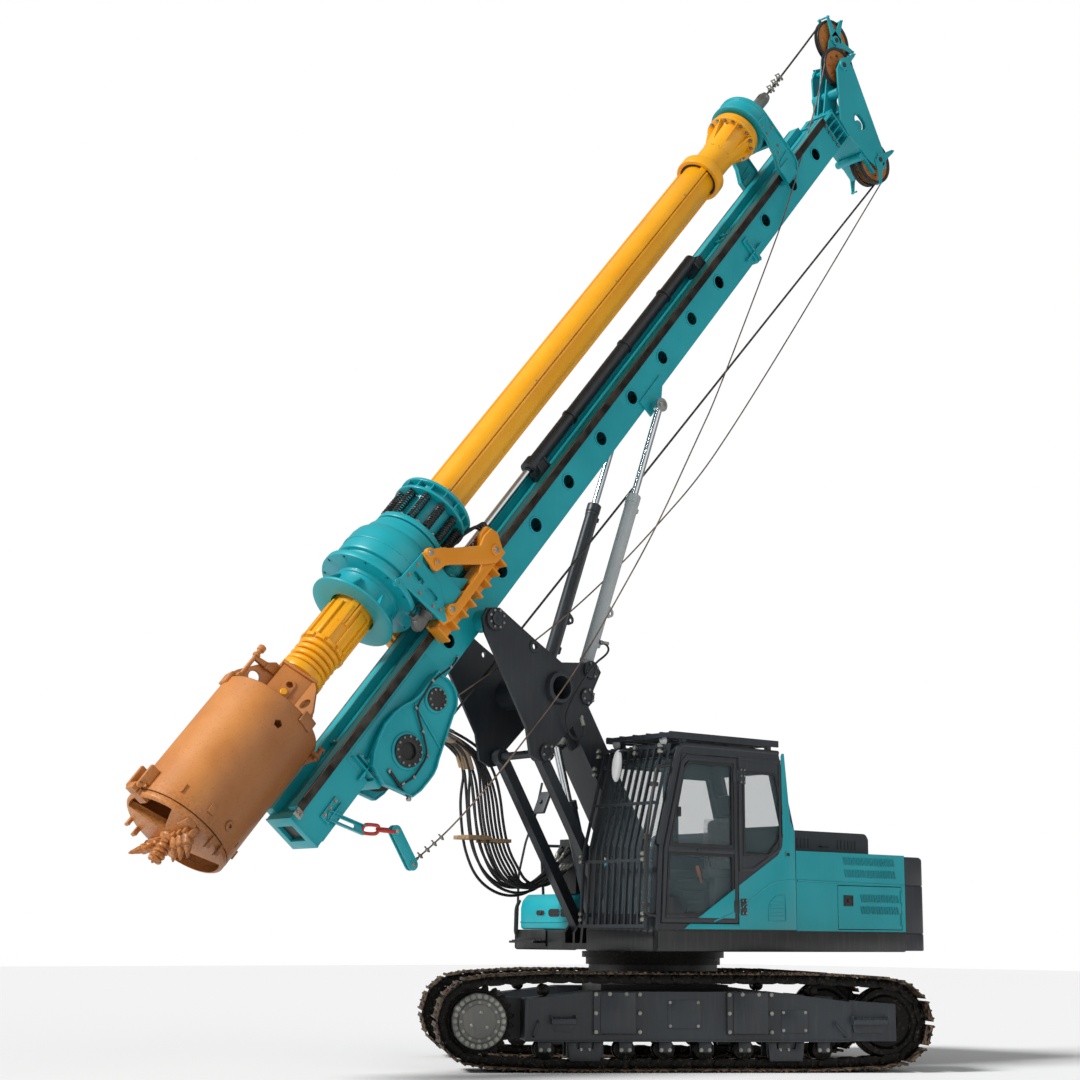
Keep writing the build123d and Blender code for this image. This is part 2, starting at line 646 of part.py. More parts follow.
def mast_head():
    """Pulley frame on top of the mast."""
    flange = block((MAST_BACK - 20, RAIL_FRONT - 60), (-225, 225), (MAST_HIGH, MAST_HIGH + 60))
    post = block((MAST_BACK, MAST_FRONT), (-180, 180), (MAST_HIGH + 60, 8545))
    side = plate(HEAD, HEAD_Y) - across((-50, 8920), 70, (100, 300))
    shafts = across(MAIN_TOP, 35, (-230, 230)) + across(AUX_TOP, 35, (-230, 230))
    shafts = shafts + across(REAR_PULLEYS, 35, (-230, 230)) + across((400, 8870), 45, (-200, 200))
    spacer = block((-60, 60), (-195, 195), (8500, 8580))
    return flange + post + spacer + both(side) + shafts


def pulley(centre, y, radius):
    """Grooved rope pulley."""
    half = 32.0
    body = across(centre, radius, (y - half, y + half))
    groove = across(centre, radius + 5, (y - 12, y + 12)) - across(centre, radius - 28, (y - 13, y + 13))
    return body - groove - across(centre, 35 + PIN_GAP, (y - 60, y + 60))


CROWD_UP = (1780.0, 5380.0)


def crowd_cylinder():
    """Barrel of the crowd cylinder on its two brackets."""
    body = upright((CROWD_OUT, 0), 75, CROWD_UP) + upright((CROWD_OUT, 0), 95, (1760, 1880))
    body = body - upright((CROWD_OUT, 0), 45, (1700, 5340))
    for up in (1800, 5300):
        bracket = block((MAST_FRONT, CROWD_OUT), (-100, 100), (up, up + 130))
        body = body + (bracket - upright((CROWD_OUT, 0), 75, (1700, 5500)))
    return body


# ---- rotary drive ----
HOUSING_RADIUS = 475.0
# radius, low and high of each step of the housing
HOUSING_ROWS = ((445, -920, -870), (330, -870, -660), (515, -660, -600), (430, -600, -510),
                (HOUSING_RADIUS, -510, -120), (400, -120, 50), (300, 50, 440), (395, 440, 580))
KELLY_BORE = 236.0
FLANGE_BOLTS = 12
FLANGE_PITCH = 480.0
FLANGE_HOLE = 13.0
SHOE_UPS = ((-490.0, -290.0), (250.0, 450.0))
SHOE_GAP = 6.0


def rail_shoe(up):
    """Hook round one rail's edge."""
    outside = block((250, 470), (RAIL_HALF + SHOE_GAP, 335), up)
    behind = block((250, MAST_FRONT - SHOE_GAP), (MAST_HALF + 15, 335), up)
    return outside + behind


PLATE_Y = (478.0, 505.0)          # y of the gearbox side plates
LINK_TOP = (1011.0, -166.0)       # out, up: pins of the drive's tie link
LINK_END = (492.0, 438.0)
CARRIAGE_PIN = (440.0, -386.0)


def drive_carriage():
    """Sledge on the rails with the arms and tie links that hold the drive."""
    shoes = Part()
    for up in SHOE_UPS:
        shoes = shoes + rail_shoe(up)
    side = block((270, 470), (335, 472), (-540, 560))
    arm = plate([(400, 300), (400, 560), (560, 640), (700, 600), (700, 480), (560, 300)], (400, 472))
    cross = block((410, 455), (-336, 336), (300, 560))
    lug = block((455, CROWD_OUT + 45), (-60, 60), (470, 555))
    link = beam(LINK_TOP, LINK_END, 90, (512, 540))
    for point in (LINK_TOP, LINK_END):
        link = link + across(point, 70, (508, 545))
    pin = across(LINK_END, 40, (465, 510)) + across(CARRIAGE_PIN, 60, (508, 540))
    pin = pin + across(CARRIAGE_PIN, 35, (470, 510))
    link = link - upright((KELLY_OUT, 0), HOUSING_RADIUS + 2, (-700, 0))
    return both(shoes + side + arm + pin + link) + cross + lug


def drive_housing():
    """Gearbox turned on the kelly axis, with the bolt circle of its lower flange."""
    axis = (KELLY_OUT, 0)
    body = ring_on(axis, HOUSING_ROWS) - upright(axis, KELLY_BORE, (-1000, 700))
    for i in range(FLANGE_BOLTS):
        turn = math.radians((i + 0.5) * 360 / FLANGE_BOLTS)
        hole = (KELLY_OUT + FLANGE_PITCH * math.cos(turn), FLANGE_PITCH * math.sin(turn))
        body = body - upright(hole, FLANGE_HOLE, (-700, -580))
    return body


MOTORS = ((600.0, 250.0), (600.0, -250.0))
LOW_MOTOR = (600.0, 400.0)


def drive_frame():
    """Bracket round the gearbox with its two side plates."""
    side = plate([(400, -520), (1080, -690), (1170, -630), (1130, -230), (1010, -90), (900, -100),
                  (640, -300), (400, -320)], PLATE_Y)
    side = side - across(CARRIAGE_PIN, 36, (400, 600))
    body = block((476, 900), (-PLATE_Y[0], PLATE_Y[0]), (-500, -130))
    body = both(side) + body
    body = body - upright((KELLY_OUT, 0), HOUSING_RADIUS + 1, (-600, 0))
    return body - upright((KELLY_OUT, 0), 516, (-701, -599))


def drive_motors():
    """Two motors above the gearbox, a third below and the valve block."""
    body = Part()
    for point in MOTORS:
        body = body + upright(point, 90, (-118, 160)) + upright(point, 60, (160, 260))
    body = body + upright(LOW_MOTOR, 72, (-760, -501))
    return body + block((470, 560), (120, 260), (575, 680))


def crowd_rod():
    return upright((CROWD_OUT, 0), 40, (556, 4450))


# ---- kelly bar, its guide and the bucket ----
# radius, low and high of each step of the bar
KELLY_ROWS = ((190, -1800, 6220), (230, -1650, -1180), (230, 6220, 6420), (200, 6420, 7030),
              (300, 7030, 7160), (205, 7160, 7410), (150, 7410, 7520), (100, 7520, 7670), (62, 7670, 7950))
RIBS = 3
RIB_RADIUS = 222.0


def kelly_bar():
    """Outer kelly tube with its drive ribs, top flange, swivel and lower square."""
    axis = (KELLY_OUT, 0)
    bar = ring_on(axis, KELLY_ROWS)
    rib = block((150, RIB_RADIUS), (-35, 35), (-1180, 6220))
    for i in range(RIBS):
        bar = bar + Pos(KELLY_OUT, 0, 0) * Rot(0, 0, 60 + i * 360 / RIBS) * rib
    return bar


GUIDE_UP = (7070.0, 7300.0)


def kelly_guide():
    """Head of the kelly that slides on the rails."""
    outline = [(250, 7070), (250, 7300), (760, 7420), (1040, 7420), (1040, 7200), (760, 7200), (420, 7070)]
    arm = plate(outline, (RAIL_HALF + SHOE_GAP, 335))
    arm = arm + rail_shoe(GUIDE_UP)
    ring = ring_on((KELLY_OUT, 0), ((335, 7200, 7420), )) - upright((KELLY_OUT, 0), 245, (7100, 7500))
    return both(arm) + ring


BUCKET_UP = (-3650.0, -2270.0)
BUCKET_RADIUS = 515.0
FLOOR_HINGE = (KELLY_OUT + 570, BUCKET_UP[0] - 5)
HINGE_RADIUS = 28.0
FLOOR_KNUCKLE = 60.0             # half length of the floor's knuckle


def bucket():
    """Open drum under its square socket, with the floor's hinge lugs."""
    axis = (KELLY_OUT, 0)
    shell = upright(axis, BUCKET_RADIUS, BUCKET_UP)
    shell = shell - upright(axis, BUCKET_RADIUS - 22, (BUCKET_UP[0] - 10, BUCKET_UP[1] - 40))
    head = block((KELLY_OUT - 170, KELLY_OUT + 170), (-170, 170), (BUCKET_UP[1], -1801))
    cheek = (FLOOR_KNUCKLE + 6, FLOOR_KNUCKLE + 50)
    lug = block((KELLY_OUT + 500, KELLY_OUT + 600), cheek, (BUCKET_UP[0] + 40, BUCKET_UP[0] + 200))
    lug = lug + block((FLOOR_HINGE[0] - HINGE_RADIUS, FLOOR_HINGE[0] + HINGE_RADIUS), cheek,
                      (FLOOR_HINGE[1], BUCKET_UP[0] + 40))
    lug = lug + across(FLOOR_HINGE, HINGE_RADIUS, cheek)
    return shell + head + both(lug)


def bucket_floor():
    """Cutting floor: disc with two soil mouths, pilot, teeth and hinge knuckle."""
    low = BUCKET_UP[0]
    floor = upright((0, 0), BUCKET_RADIUS, (low - 75, low - 6))
    mouth = block((60, 430), (40, 330), (low - 400, low + 100))
    floor = floor - mouth - Rot(0, 0, 180) * mouth
    floor = floor + upright((0, 0), 70, (low - 250, low - 70)) + Pos(0, 0, low - 390) * Cone(12, 70, 140, align=LOW)
    for i in range(4):
        tooth = block((120 + 90 * i, 170 + 90 * i), (-45, -5), (low - 190, low - 70))
        floor = floor + tooth + Rot(0, 0, 180) * tooth
    hinge = block((KELLY_OUT + 400, FLOOR_HINGE[0] + HINGE_RADIUS), (-FLOOR_KNUCKLE, FLOOR_KNUCKLE),
                  (low - 70, low - 10))
    hinge = hinge + across(FLOOR_HINGE, HINGE_RADIUS, (-FLOOR_KNUCKLE, FLOOR_KNUCKLE))
    return Pos(KELLY_OUT, 0, 0) * floor + hinge


# ---- write every node ----
def engine_block():
    return block((-2150, -950), (-380, 380), (DECK_TOP + 20, 2040))


def upper():
    save("upper_frame", upper_frame())
    save("cab_shell", cab_shell())
    save("cab_windows", cab_windows())
    save("cab_interior", cab_interior())
    save("front_guard", front_guard())
    save("roof_guard", roof_guard())
    save("cab_door", cab_door())
    save("door_windows", door_panes(*GLASS))
    save("left_housing", housing())
    save("right_housing", mirror(housing(), about=Plane.XZ))
    save("left_service_door", service_door())
    save("right_service_door", mirror(service_door(), about=Plane.XZ))
    save("engine_hood", engine_hood())
    save("engine_block", engine_block())
    save("counterweight", counterweight())
    save("front_box", front_box())


def boom():
    save("boom_arm", boom_arm())
    save("boom_links", boom_links())
    save("triangle_frame", triangle_frame())
    save("luff_cylinder", luff_barrel())
    save("luff_rod", luff_rod())
    save("mast_cylinders", mast_cylinder_barrels())
    save("mast_cylinder_rods", mast_cylinder_rods())


def mast():
    save("mast_box", mast_box(), MAST)
    save("mast_rails", mast_rails(), MAST)
    save("winch_housing", winch_housing(), MAST)
    save("main_winch_drum", drum(MAIN_DRUM, 250, 350, 50), MAST)
    save("aux_winch_drum", drum(AUX_DRUM, 150, 215, 40), MAST)
    save("mast_head", mast_head(), MAST)
    save("main_top_pulley", pulley(MAIN_TOP, 0, 280), MAST)
    save("aux_top_pulley", pulley(AUX_TOP, AUX_Y, 250), MAST)
    save("main_rear_pulley", pulley(REAR_PULLEYS, 0, 270), MAST)
    save("aux_rear_pulley", pulley(REAR_PULLEYS, AUX_Y, 270), MAST)
    save("crowd_cylinder", crowd_cylinder(), MAST)


def drive():
    save("drive_carriage", drive_carriage(), MAST)
    save("drive_housing", drive_housing(), MAST)
    save("drive_frame", drive_frame(), MAST)
    save("drive_motors", drive_motors(), MAST)
    save("crowd_rod", crowd_rod(), MAST)
    save("kelly_guide", kelly_guide(), MAST)
    save("kelly_bar", kelly_bar(), MAST)
    save("drilling_bucket", bucket(), MAST)
    save("bucket_floor", bucket_floor(), MAST)


undercarriage()
upper()
boom()
mast()
drive()
hoses()
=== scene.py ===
# %% [markdown]
# # A rotary piling rig, finished in Blender
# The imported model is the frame: every solid, at its real size and place. This lesson gives
# it what a maker's yard would: enamel, dirt, chrome, bolts, shoes, springs, ropes and hoses.
# Everything is in metres, +X forward of the upper, +Y to its left, +Z up.

# %% Load the frame
import json
import math
import bpy
from mathutils import Matrix, Vector

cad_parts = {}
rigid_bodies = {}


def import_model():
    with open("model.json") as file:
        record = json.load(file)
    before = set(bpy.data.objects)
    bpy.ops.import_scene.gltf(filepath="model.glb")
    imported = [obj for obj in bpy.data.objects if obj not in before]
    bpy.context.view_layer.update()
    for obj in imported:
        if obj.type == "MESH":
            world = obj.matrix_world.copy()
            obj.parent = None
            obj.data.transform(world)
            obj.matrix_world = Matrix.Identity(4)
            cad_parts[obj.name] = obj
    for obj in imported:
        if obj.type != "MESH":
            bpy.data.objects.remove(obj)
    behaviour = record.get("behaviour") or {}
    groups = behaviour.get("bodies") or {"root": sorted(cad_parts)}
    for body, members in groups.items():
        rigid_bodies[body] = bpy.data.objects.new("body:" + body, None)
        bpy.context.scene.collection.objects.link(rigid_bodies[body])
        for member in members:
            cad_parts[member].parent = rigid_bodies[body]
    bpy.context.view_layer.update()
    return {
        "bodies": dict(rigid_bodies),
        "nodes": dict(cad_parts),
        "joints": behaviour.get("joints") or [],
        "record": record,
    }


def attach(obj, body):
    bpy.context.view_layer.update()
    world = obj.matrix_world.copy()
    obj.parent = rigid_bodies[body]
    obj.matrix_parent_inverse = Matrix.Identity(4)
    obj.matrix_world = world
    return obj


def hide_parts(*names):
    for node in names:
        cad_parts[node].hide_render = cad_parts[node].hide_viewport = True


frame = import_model()
nodes = frame["nodes"]
scene = bpy.context.scene

# %% [markdown]
# ## Two working frames
# The tracks are turned under the upper, and the mast leans back from upright. Pieces on
# either are easiest to model square and then to turn, so each gets a matrix. In the mast's
# frame X points out from the mast, Y to the left and Z up the mast, from its pin.

# %% Working frames
SLEW = math.radians(33)
MAST_LEAN = math.radians(40)
UNDER = Matrix.Rotation(-SLEW, 4, "Z")
MAST = Matrix.Translation((2.45, 0, 4.28)) @ Matrix.Rotation(-MAST_LEAN, 4, "Y")
UPRIGHT = Matrix.Identity(4)
KELLY_OUT = 1.04
print("mast foot at", MAST @ Vector((0, 0, -2.82)))

# %% [markdown]
# ## The camera
# It stands low at the rig's left front and looks up a little, as a visitor would, so the
# mast towers over it. The lens is long enough to keep the cab's edges nearly parallel.

# %% Camera
LENS_MM, SENSOR_MM = 67.35, 36.0
STANDS_AT = (14.4506, 15.6386, 1.2507)
HEADING, TILT, ROLL = math.radians(140.47), math.radians(101.135), 0.007
eye = bpy.data.objects.new("camera", bpy.data.cameras.new("camera"))
scene.collection.objects.link(eye)
eye.data.lens, eye.data.sensor_width = LENS_MM, SENSOR_MM
aim = Matrix.Rotation(HEADING, 4, "Z") @ Matrix.Rotation(TILT, 4, "X")
eye.matrix_world = Matrix.Translation(STANDS_AT) @ aim @ Matrix.Rotation(ROLL, 4, "Z")
scene.camera = eye
print("camera stands", round((eye.location - Vector((0, 0, 2))).length, 1), "m from the cab")

# %% [markdown]
# ## Floor and light
# An overcast sky gives soft light from everywhere. As the camera sees it, one broad lamp
# high on the left gives the enamel its gradients, and a weaker one from the right opens the
# shadows. The world looks plain white but lights the rig far less, so enamel keeps its colour.

# %% Node helpers
def linear(code):
    """sRGB hex to a linear colour."""
    parts = [int(code[i:i + 2], 16) / 255 for i in (0, 2, 4)]
    return [c / 12.92 if c <= 0.04045 else ((c + 0.055) / 1.055) ** 2.4 for c in parts] + [1.0]


def add(tree, kind, wires=None, **settings):
    """Add a node, set its properties and plain inputs, and wire the rest."""
    node = tree.nodes.new(kind)
    for key, value in settings.items():
        if hasattr(node, key):
            setattr(node, key, value)
        else:
            node.inputs[key.replace("_", " ")].default_value = value
    for key, socket in (wires or {}).items():
        tree.links.new(socket, node.inputs[key])
    return node


# %% Floor, sky and lamps
FLOOR_HALF = 60.0
bpy.ops.object.select_all(action="DESELECT")
bpy.ops.mesh.primitive_plane_add(size=2 * FLOOR_HALF)
floor = bpy.context.object
floor.name = "floor"
pale = bpy.data.materials.new("pale_studio_floor")
pale.use_nodes = True
pale.node_tree.nodes["Principled BSDF"].inputs["Base Color"].default_value = linear("f4f4f4")
pale.node_tree.nodes["Principled BSDF"].inputs["Roughness"].default_value = 0.9
floor.data.materials.append(pale)

world = bpy.data.worlds.new("overcast")
scene.world = world
world.use_nodes = True
tree = world.node_tree
tree.nodes.clear()
seen = add(tree, "ShaderNodeLightPath")
shown = add(tree, "ShaderNodeMath", {0: seen.outputs["Is Camera Ray"], 1: seen.outputs["Is Transmission Ray"]},
    operation="MAXIMUM")
SKY_LIGHT, SKY_IN_GLOSS = 0.25, 0.32
glow = add(tree, "ShaderNodeMapRange", {"Value": seen.outputs["Is Glossy Ray"]}, To_Min=SKY_LIGHT,
    To_Max=SKY_IN_GLOSS)
level = add(tree, "ShaderNodeMath", {0: glow.outputs[0], 1: shown.outputs[0]}, operation="MAXIMUM")
sky = add(tree, "ShaderNodeBackground", {"Strength": level.outputs[0]}, Color=(1, 1, 1, 1))
add(tree, "ShaderNodeOutputWorld", {"Surface": sky.outputs[0]})


def lamp(name, place, strength, spread):
    """Distant lamp that shines from a place towards the origin, soft by its spread in degrees."""
    light = bpy.data.lights.new(name, "SUN")
    light.energy, light.angle = strength, math.radians(spread)
    holder = bpy.data.objects.new(name, light)
    scene.collection.objects.link(holder)
    holder.matrix_world = Matrix.Translation(place) @ (-Vector(place)).to_track_quat("-Z", "Y").to_matrix().to_4x4()


lamp("key", place=(22, -5, 19), strength=3.5, spread=16)
lamp("fill", place=(-2, 22, 10), strength=0.45, spread=50)
scene.view_settings.view_transform = "Standard"
print("sky light", SKY_LIGHT)

# %% [markdown]
# ## Enamel on steel plate
# Most of the rig is sprayed with two-pack enamel. Up close it has a faint orange-peel
# ripple a few millimetres wide, cloudy fading, rain streaks of dust that run down, and
# chips along the edges where the primer shows. One recipe makes them all: a Bevel node
# finds the edges, and noise decides where along them the paint has gone.

# %% Enamel recipe
MM = 0.001
PEEL_WIDE_MM, PEEL_DEEP_MM, MUD_DEEP_MM = 9, 0.25, 1.5


def per_metre(size_mm):
    """Texture scale for a pattern of that size, on coordinates in metres."""
    return 1 / (size_mm * MM)


def start(name, **surface):
    """A new material with its shader, and its tree."""
    material = bpy.data.materials.new(name)
    material.use_nodes = True
    shader = material.node_tree.nodes["Principled BSDF"]
    for key, value in surface.items():
        shader.inputs[key.replace("_", " ")].default_value = value
    return material, material.node_tree, shader


def noise(tree, source, size_mm, detail=3.0, low=0.35, high=0.65, stretch=(1, 1, 1)):
    """Noise of that size in the object's own space, spread between two levels."""
    laid = add(tree, "ShaderNodeMapping", {"Vector": source}, Scale=stretch)
    grain = add(tree, "ShaderNodeTexNoise", {"Vector": laid.outputs[0]}, Scale=per_metre(size_mm), Detail=detail)
    return add(tree, "ShaderNodeMapRange", {"Value": grain.outputs[0]}, From_Min=low, From_Max=high).outputs[0]


def mixed(tree, factor, first, second):
    """Mix two colours, given as sockets or as plain colours, by a socket."""
    blend = add(tree, "ShaderNodeMix", {0: factor}, data_type="RGBA")
    for key, value in ((6, first), (7, second)):
        if isinstance(value, bpy.types.NodeSocket):
            tree.links.new(value, blend.inputs[key])
        else:
            blend.inputs[key].default_value = value
    return blend.outputs[2]


def times(tree, first, second):
    """Product of two sockets, or of a socket and a number."""
    product = add(tree, "ShaderNodeMath", {0: first}, operation="MULTIPLY")
    if isinstance(second, bpy.types.NodeSocket):
        tree.links.new(second, product.inputs[1])
    else:
        product.inputs[1].default_value = second
    return product.outputs[0]


def edge_mask(tree, radius_mm):
    """1 along sharp edges and 0 on the flat."""
    rounded = add(tree, "ShaderNodeBevel", samples=4, Radius=radius_mm * MM)
    face = add(tree, "ShaderNodeNewGeometry")
    same = add(tree, "ShaderNodeVectorMath", {0: rounded.outputs[0], 1: face.outputs["Normal"]},
        operation="DOT_PRODUCT")
    return add(tree, "ShaderNodeMapRange", {"Value": same.outputs["Value"]}, From_Min=0.985, From_Max=0.9).outputs[0]


def bump(tree, shader, height, depth_mm):
    """Lift the surface by a height pattern."""
    lift = add(tree, "ShaderNodeBump", {"Height": height}, Distance=depth_mm * MM)
    tree.links.new(lift.outputs[0], shader.inputs["Normal"])


def enamel(name, colour, faded, chip, gloss=0.32, chips=0.5, dust=0.25, dust_colour="8d8474"):
    """Sprayed enamel with fading, streaks of dust, edge chips and orange peel."""
    material, tree, shader = start(name)
    where = add(tree, "ShaderNodeTexCoord").outputs["Object"]
    cloud = noise(tree, where, 700, 4, 0.3, 0.75)
    paint = mixed(tree, cloud, linear(colour), linear(faded))
    rain = noise(tree, where, 30, 4, 0.5, 0.9, stretch=(1, 1, 0.08))
    paint = mixed(tree, times(tree, rain, dust), paint, linear(dust_colour))
    spots = noise(tree, where, 26, 6, 0.52, 0.6)
    worn = times(tree, times(tree, edge_mask(tree, 5), spots), chips)
    paint = mixed(tree, worn, paint, linear(chip))
    tree.links.new(paint, shader.inputs["Base Color"])
    rough = add(tree, "ShaderNodeMapRange", {"Value": cloud}, To_Min=gloss - 0.05, To_Max=gloss + 0.14)
    tree.links.new(rough.outputs[0], shader.inputs["Roughness"])
    bump(tree, shader, noise(tree, where, PEEL_WIDE_MM, 2, 0.2, 0.8), PEEL_DEEP_MM)
    return material


print("enamel orange peel drawn at", per_metre(PEEL_WIDE_MM), "ripples a metre")

# %% Enamels of the rig
teal = enamel("teal_two_pack_enamel", "0597a2", "12a7b1", "a9cfcc", chips=0.3, dust=0.07)
charcoal = enamel("charcoal_two_pack_enamel", "22272c", "2c3238", "6c7072", gloss=0.36, chips=0.5, dust=0.07)
yellow = enamel("kelly_yellow_enamel", "eaa00c", "f4b01a", "8a5a2a", gloss=0.3, chips=0.8, dust=0.1,
    dust_colour="b3611a")
orange = enamel("linkage_orange_enamel", "dd8508", "ea9a18", "5f4a33", chips=0.7, dust=0.12)
skirt_black = enamel("chassis_black_enamel", "191b1c", "242627", "67625c", gloss=0.4, chips=0.8, dust=0.12)
red = enamel("signal_red_enamel", "b5201c", "cc3a2c", "7a6a60", chips=0.6)
silver = enamel("aluminium_enamel", "9fa6a9", "b4babb", "6b6f70", gloss=0.35, chips=0.4, dust=0.12)
pulley_brown = enamel("pulley_enamel", "a9601d", "bd7429", "2a231d", gloss=0.5, chips=1.0, dust=0.3,
    dust_colour="3a2a1c")
print("enamels ready")

# %% [markdown]
# ## Bare and dirty metals
# Track shoes are forged steel under dry mud and rust; the guide rails are greased and
# rubbed dark; rods are hard chrome, nearly a mirror; bolts are zinc plated. A metal keeps
# its default index of refraction, and colour and roughness tell one from another.

# %% Metals
def metal(name, colour, second, roughness, grain_mm=2.0, stretch=(1, 1, 1), depth_mm=0.05, spread=0.15):
    """Bare metal with a grain that can be drawn out along one axis."""
    material, tree, shader = start(name, Metallic=1.0)
    where = add(tree, "ShaderNodeTexCoord").outputs["Object"]
    grain = noise(tree, where, grain_mm, 4, 0.3, 0.7, stretch)
    patches = noise(tree, where, 180, 4, 0.35, 0.7)
    tree.links.new(mixed(tree, patches, linear(colour), linear(second)), shader.inputs["Base Color"])
    rough = add(tree, "ShaderNodeMapRange", {"Value": grain}, To_Min=roughness, To_Max=roughness + spread)
    tree.links.new(rough.outputs[0], shader.inputs["Roughness"])
    bump(tree, shader, grain, depth_mm)
    return material


def dirty_steel(name, metal_colour, mud, mud_dark, cover=0.6, patch_mm=40):
    """Forged steel under patches of dry mud."""
    material, tree, shader = start(name)
    where = add(tree, "ShaderNodeTexCoord").outputs["Object"]
    fine = noise(tree, where, 12, 5, 0.3, 0.7)
    patch = noise(tree, where, patch_mm, 6, 0.62 - 0.3 * cover, 0.74 - 0.3 * cover)
    dirt = mixed(tree, fine, linear(mud), linear(mud_dark))
    tree.links.new(mixed(tree, patch, linear(metal_colour), dirt), shader.inputs["Base Color"])
    steel_share = add(tree, "ShaderNodeMapRange", {"Value": patch}, To_Min=0.9, To_Max=0.0)
    tree.links.new(steel_share.outputs[0], shader.inputs["Metallic"])
    rough = add(tree, "ShaderNodeMapRange", {"Value": patch}, To_Min=0.42, To_Max=0.95)
    tree.links.new(rough.outputs[0], shader.inputs["Roughness"])
    bump(tree, shader, times(tree, patch, fine), MUD_DEEP_MM)
    return material


chrome = metal("hard_chrome", "cfd3d6", "c2c7cb", 0.08, grain_mm=1.5, depth_mm=0.01, spread=0.08)
rail_steel = metal("greased_rail_steel", "2c2a28", "514c46", 0.38, grain_mm=6, stretch=(1, 1, 0.05), spread=0.25)
zinc = metal("zinc_plated_steel", "a9a9a2", "86867f", 0.34, grain_mm=3)
cast_grey = enamel("grey_cast_hub_enamel", "5a5b59", "6c6c68", "a59c8c", gloss=0.5, chips=0.6, dust=0.35)
shoe_steel = dirty_steel("track_shoe_steel", "2a2624", "6b5740", "43352a", cover=0.62)
roller_steel = dirty_steel("roller_steel", "201f1e", "4d4134", "2c2621", cover=0.22, patch_mm=30)
rope_steel = metal("rope_wire", "5a5a56", "3b3a37", 0.45, grain_mm=4, spread=0.2)
aged_rope = metal("weathered_rope_wire", "9a8777", "6c6056", 0.5, grain_mm=4, spread=0.2)
rubbed = metal("rubbed_rail", "8a7c6d", "4a423b", 0.34, grain_mm=5, stretch=(1, 1, 0.04), spread=0.3)
print("metals ready")

# %% [markdown]
# ## Rubber, plastic, glass, board
# Hose covers are black synthetic rubber with a dull bloom. The seat is vinyl under a thin
# polythene cover. Cab panes are tinted tempered glass. The hose clamp is bare plywood.

# %% Soft and clear materials
def plain(name, colour, second, roughness, size_mm, depth_mm=0.2, **surface):
    """Non-metal with two tones and a fine grain."""
    material, tree, shader = start(name, **surface)
    where = add(tree, "ShaderNodeTexCoord").outputs["Object"]
    grain = noise(tree, where, size_mm, 4, 0.3, 0.7)
    tree.links.new(mixed(tree, grain, linear(colour), linear(second)), shader.inputs["Base Color"])
    rough = add(tree, "ShaderNodeMapRange", {"Value": noise(tree, where, size_mm * 9, 3)}, To_Min=roughness,
        To_Max=roughness + 0.15)
    tree.links.new(rough.outputs[0], shader.inputs["Roughness"])
    bump(tree, shader, grain, depth_mm)
    return material


rubber = plain("hose_cover_rubber", "17181a", "26272a", 0.48, 5)
vinyl = plain("seat_vinyl", "1d1f22", "2b2d31", 0.45, 3)
abs_grey = plain("console_abs", "34373a", "43474b", 0.5, 2)
plywood = plain("clamp_plywood", "a58760", "7c6244", 0.7, 25, 0.5)
tape = plain("beige_sleeve_fabric", "b9a184", "9a8266", 0.8, 6, 0.6)
grip_orange = plain("lever_orange_abs", "d2691e", "b85a18", 0.4, 3)
glass = plain("tinted_tempered_glass", "6f8388", "788b90", 0.03, 400, 0.0, Alpha=0.18)
polythene = plain("clear_polythene", "e8ecec", "ffffff", 0.18, 60, 3.0, Alpha=0.32)
polished_white = plain("white_mirror_shell", "e9ebea", "dcdfde", 0.25, 8)
glass_black = plain("dark_display_glass", "0c0f12", "12161a", 0.08, 40)
print(len(bpy.data.materials), "materials so far")

# %% [markdown]
# ## The bucket's worn coat
# The bucket came from another yard: a thin brown-orange coat over rolled steel, rubbed to
# bare rust on its lower rim and edges. Its side turned from the key lamp is darkened with painted shade.
# Rust here is a darker, rougher brown, so it reads as wear and not as another paint.

# %% Bucket coat
# Painted shade: the direction across the bucket along which its side turned from the key lamp is darkened.
PAINTED_SHADE_SIDE = (MAST.to_3x3() @ Vector((-0.56, 0.68, 0))).normalized()
MIDDLE = PAINTED_SHADE_SIDE.dot(MAST @ Vector((1.04, 0, 0)))


def worn_coat_and_painted_shade(name, coat, sunlit, rust, shade_colour, low_up, high_up):
    """Thin coat that gives way to rust towards the bucket's lower end, and to painted shade on one side."""
    material, tree, shader = start(name)
    where = add(tree, "ShaderNodeTexCoord").outputs["Object"]
    paint = mixed(tree, noise(tree, where, 420, 4, 0.3, 0.7), linear(coat), linear(sunlit))
    specks = noise(tree, where, 14, 6, 0.58, 0.72)
    paint = mixed(tree, times(tree, specks, 0.35), paint, linear(rust))
    square = add(tree, "ShaderNodeMapping", {"Vector": where}, Rotation=(0, MAST_LEAN, 0))
    height = add(tree, "ShaderNodeSeparateXYZ", {"Vector": square.outputs[0]}).outputs["Z"]
    fade = add(tree, "ShaderNodeMapRange", {"Value": height}, From_Min=high_up, From_Max=low_up).outputs[0]
    edge = noise(tree, where, 22, 7, 0.42, 0.66)
    paint = mixed(tree, times(tree, fade, edge), paint, linear(rust))
    paint = mixed(tree, times(tree, edge_mask(tree, 6), 0.8), paint, linear(rust))
    # Painted shade: a dark brown laid over the side of the bucket turned from the key lamp.
    across = add(tree, "ShaderNodeVectorMath", {0: where}, operation="DOT_PRODUCT")
    across.inputs[1].default_value = PAINTED_SHADE_SIDE
    painted_shade = add(tree, "ShaderNodeMapRange", {"Value": across.outputs["Value"]}, From_Min=MIDDLE + 0.05,
        From_Max=MIDDLE + 0.62)
    paint = mixed(tree, times(tree, painted_shade.outputs[0], 0.75), paint, linear(shade_colour))
    tree.links.new(paint, shader.inputs["Base Color"])
    rough = add(tree, "ShaderNodeMapRange", {"Value": specks}, To_Min=0.42, To_Max=0.85)
    tree.links.new(rough.outputs[0], shader.inputs["Roughness"])
    bump(tree, shader, noise(tree, where, 5, 3, 0.3, 0.7), 0.12)
    return material


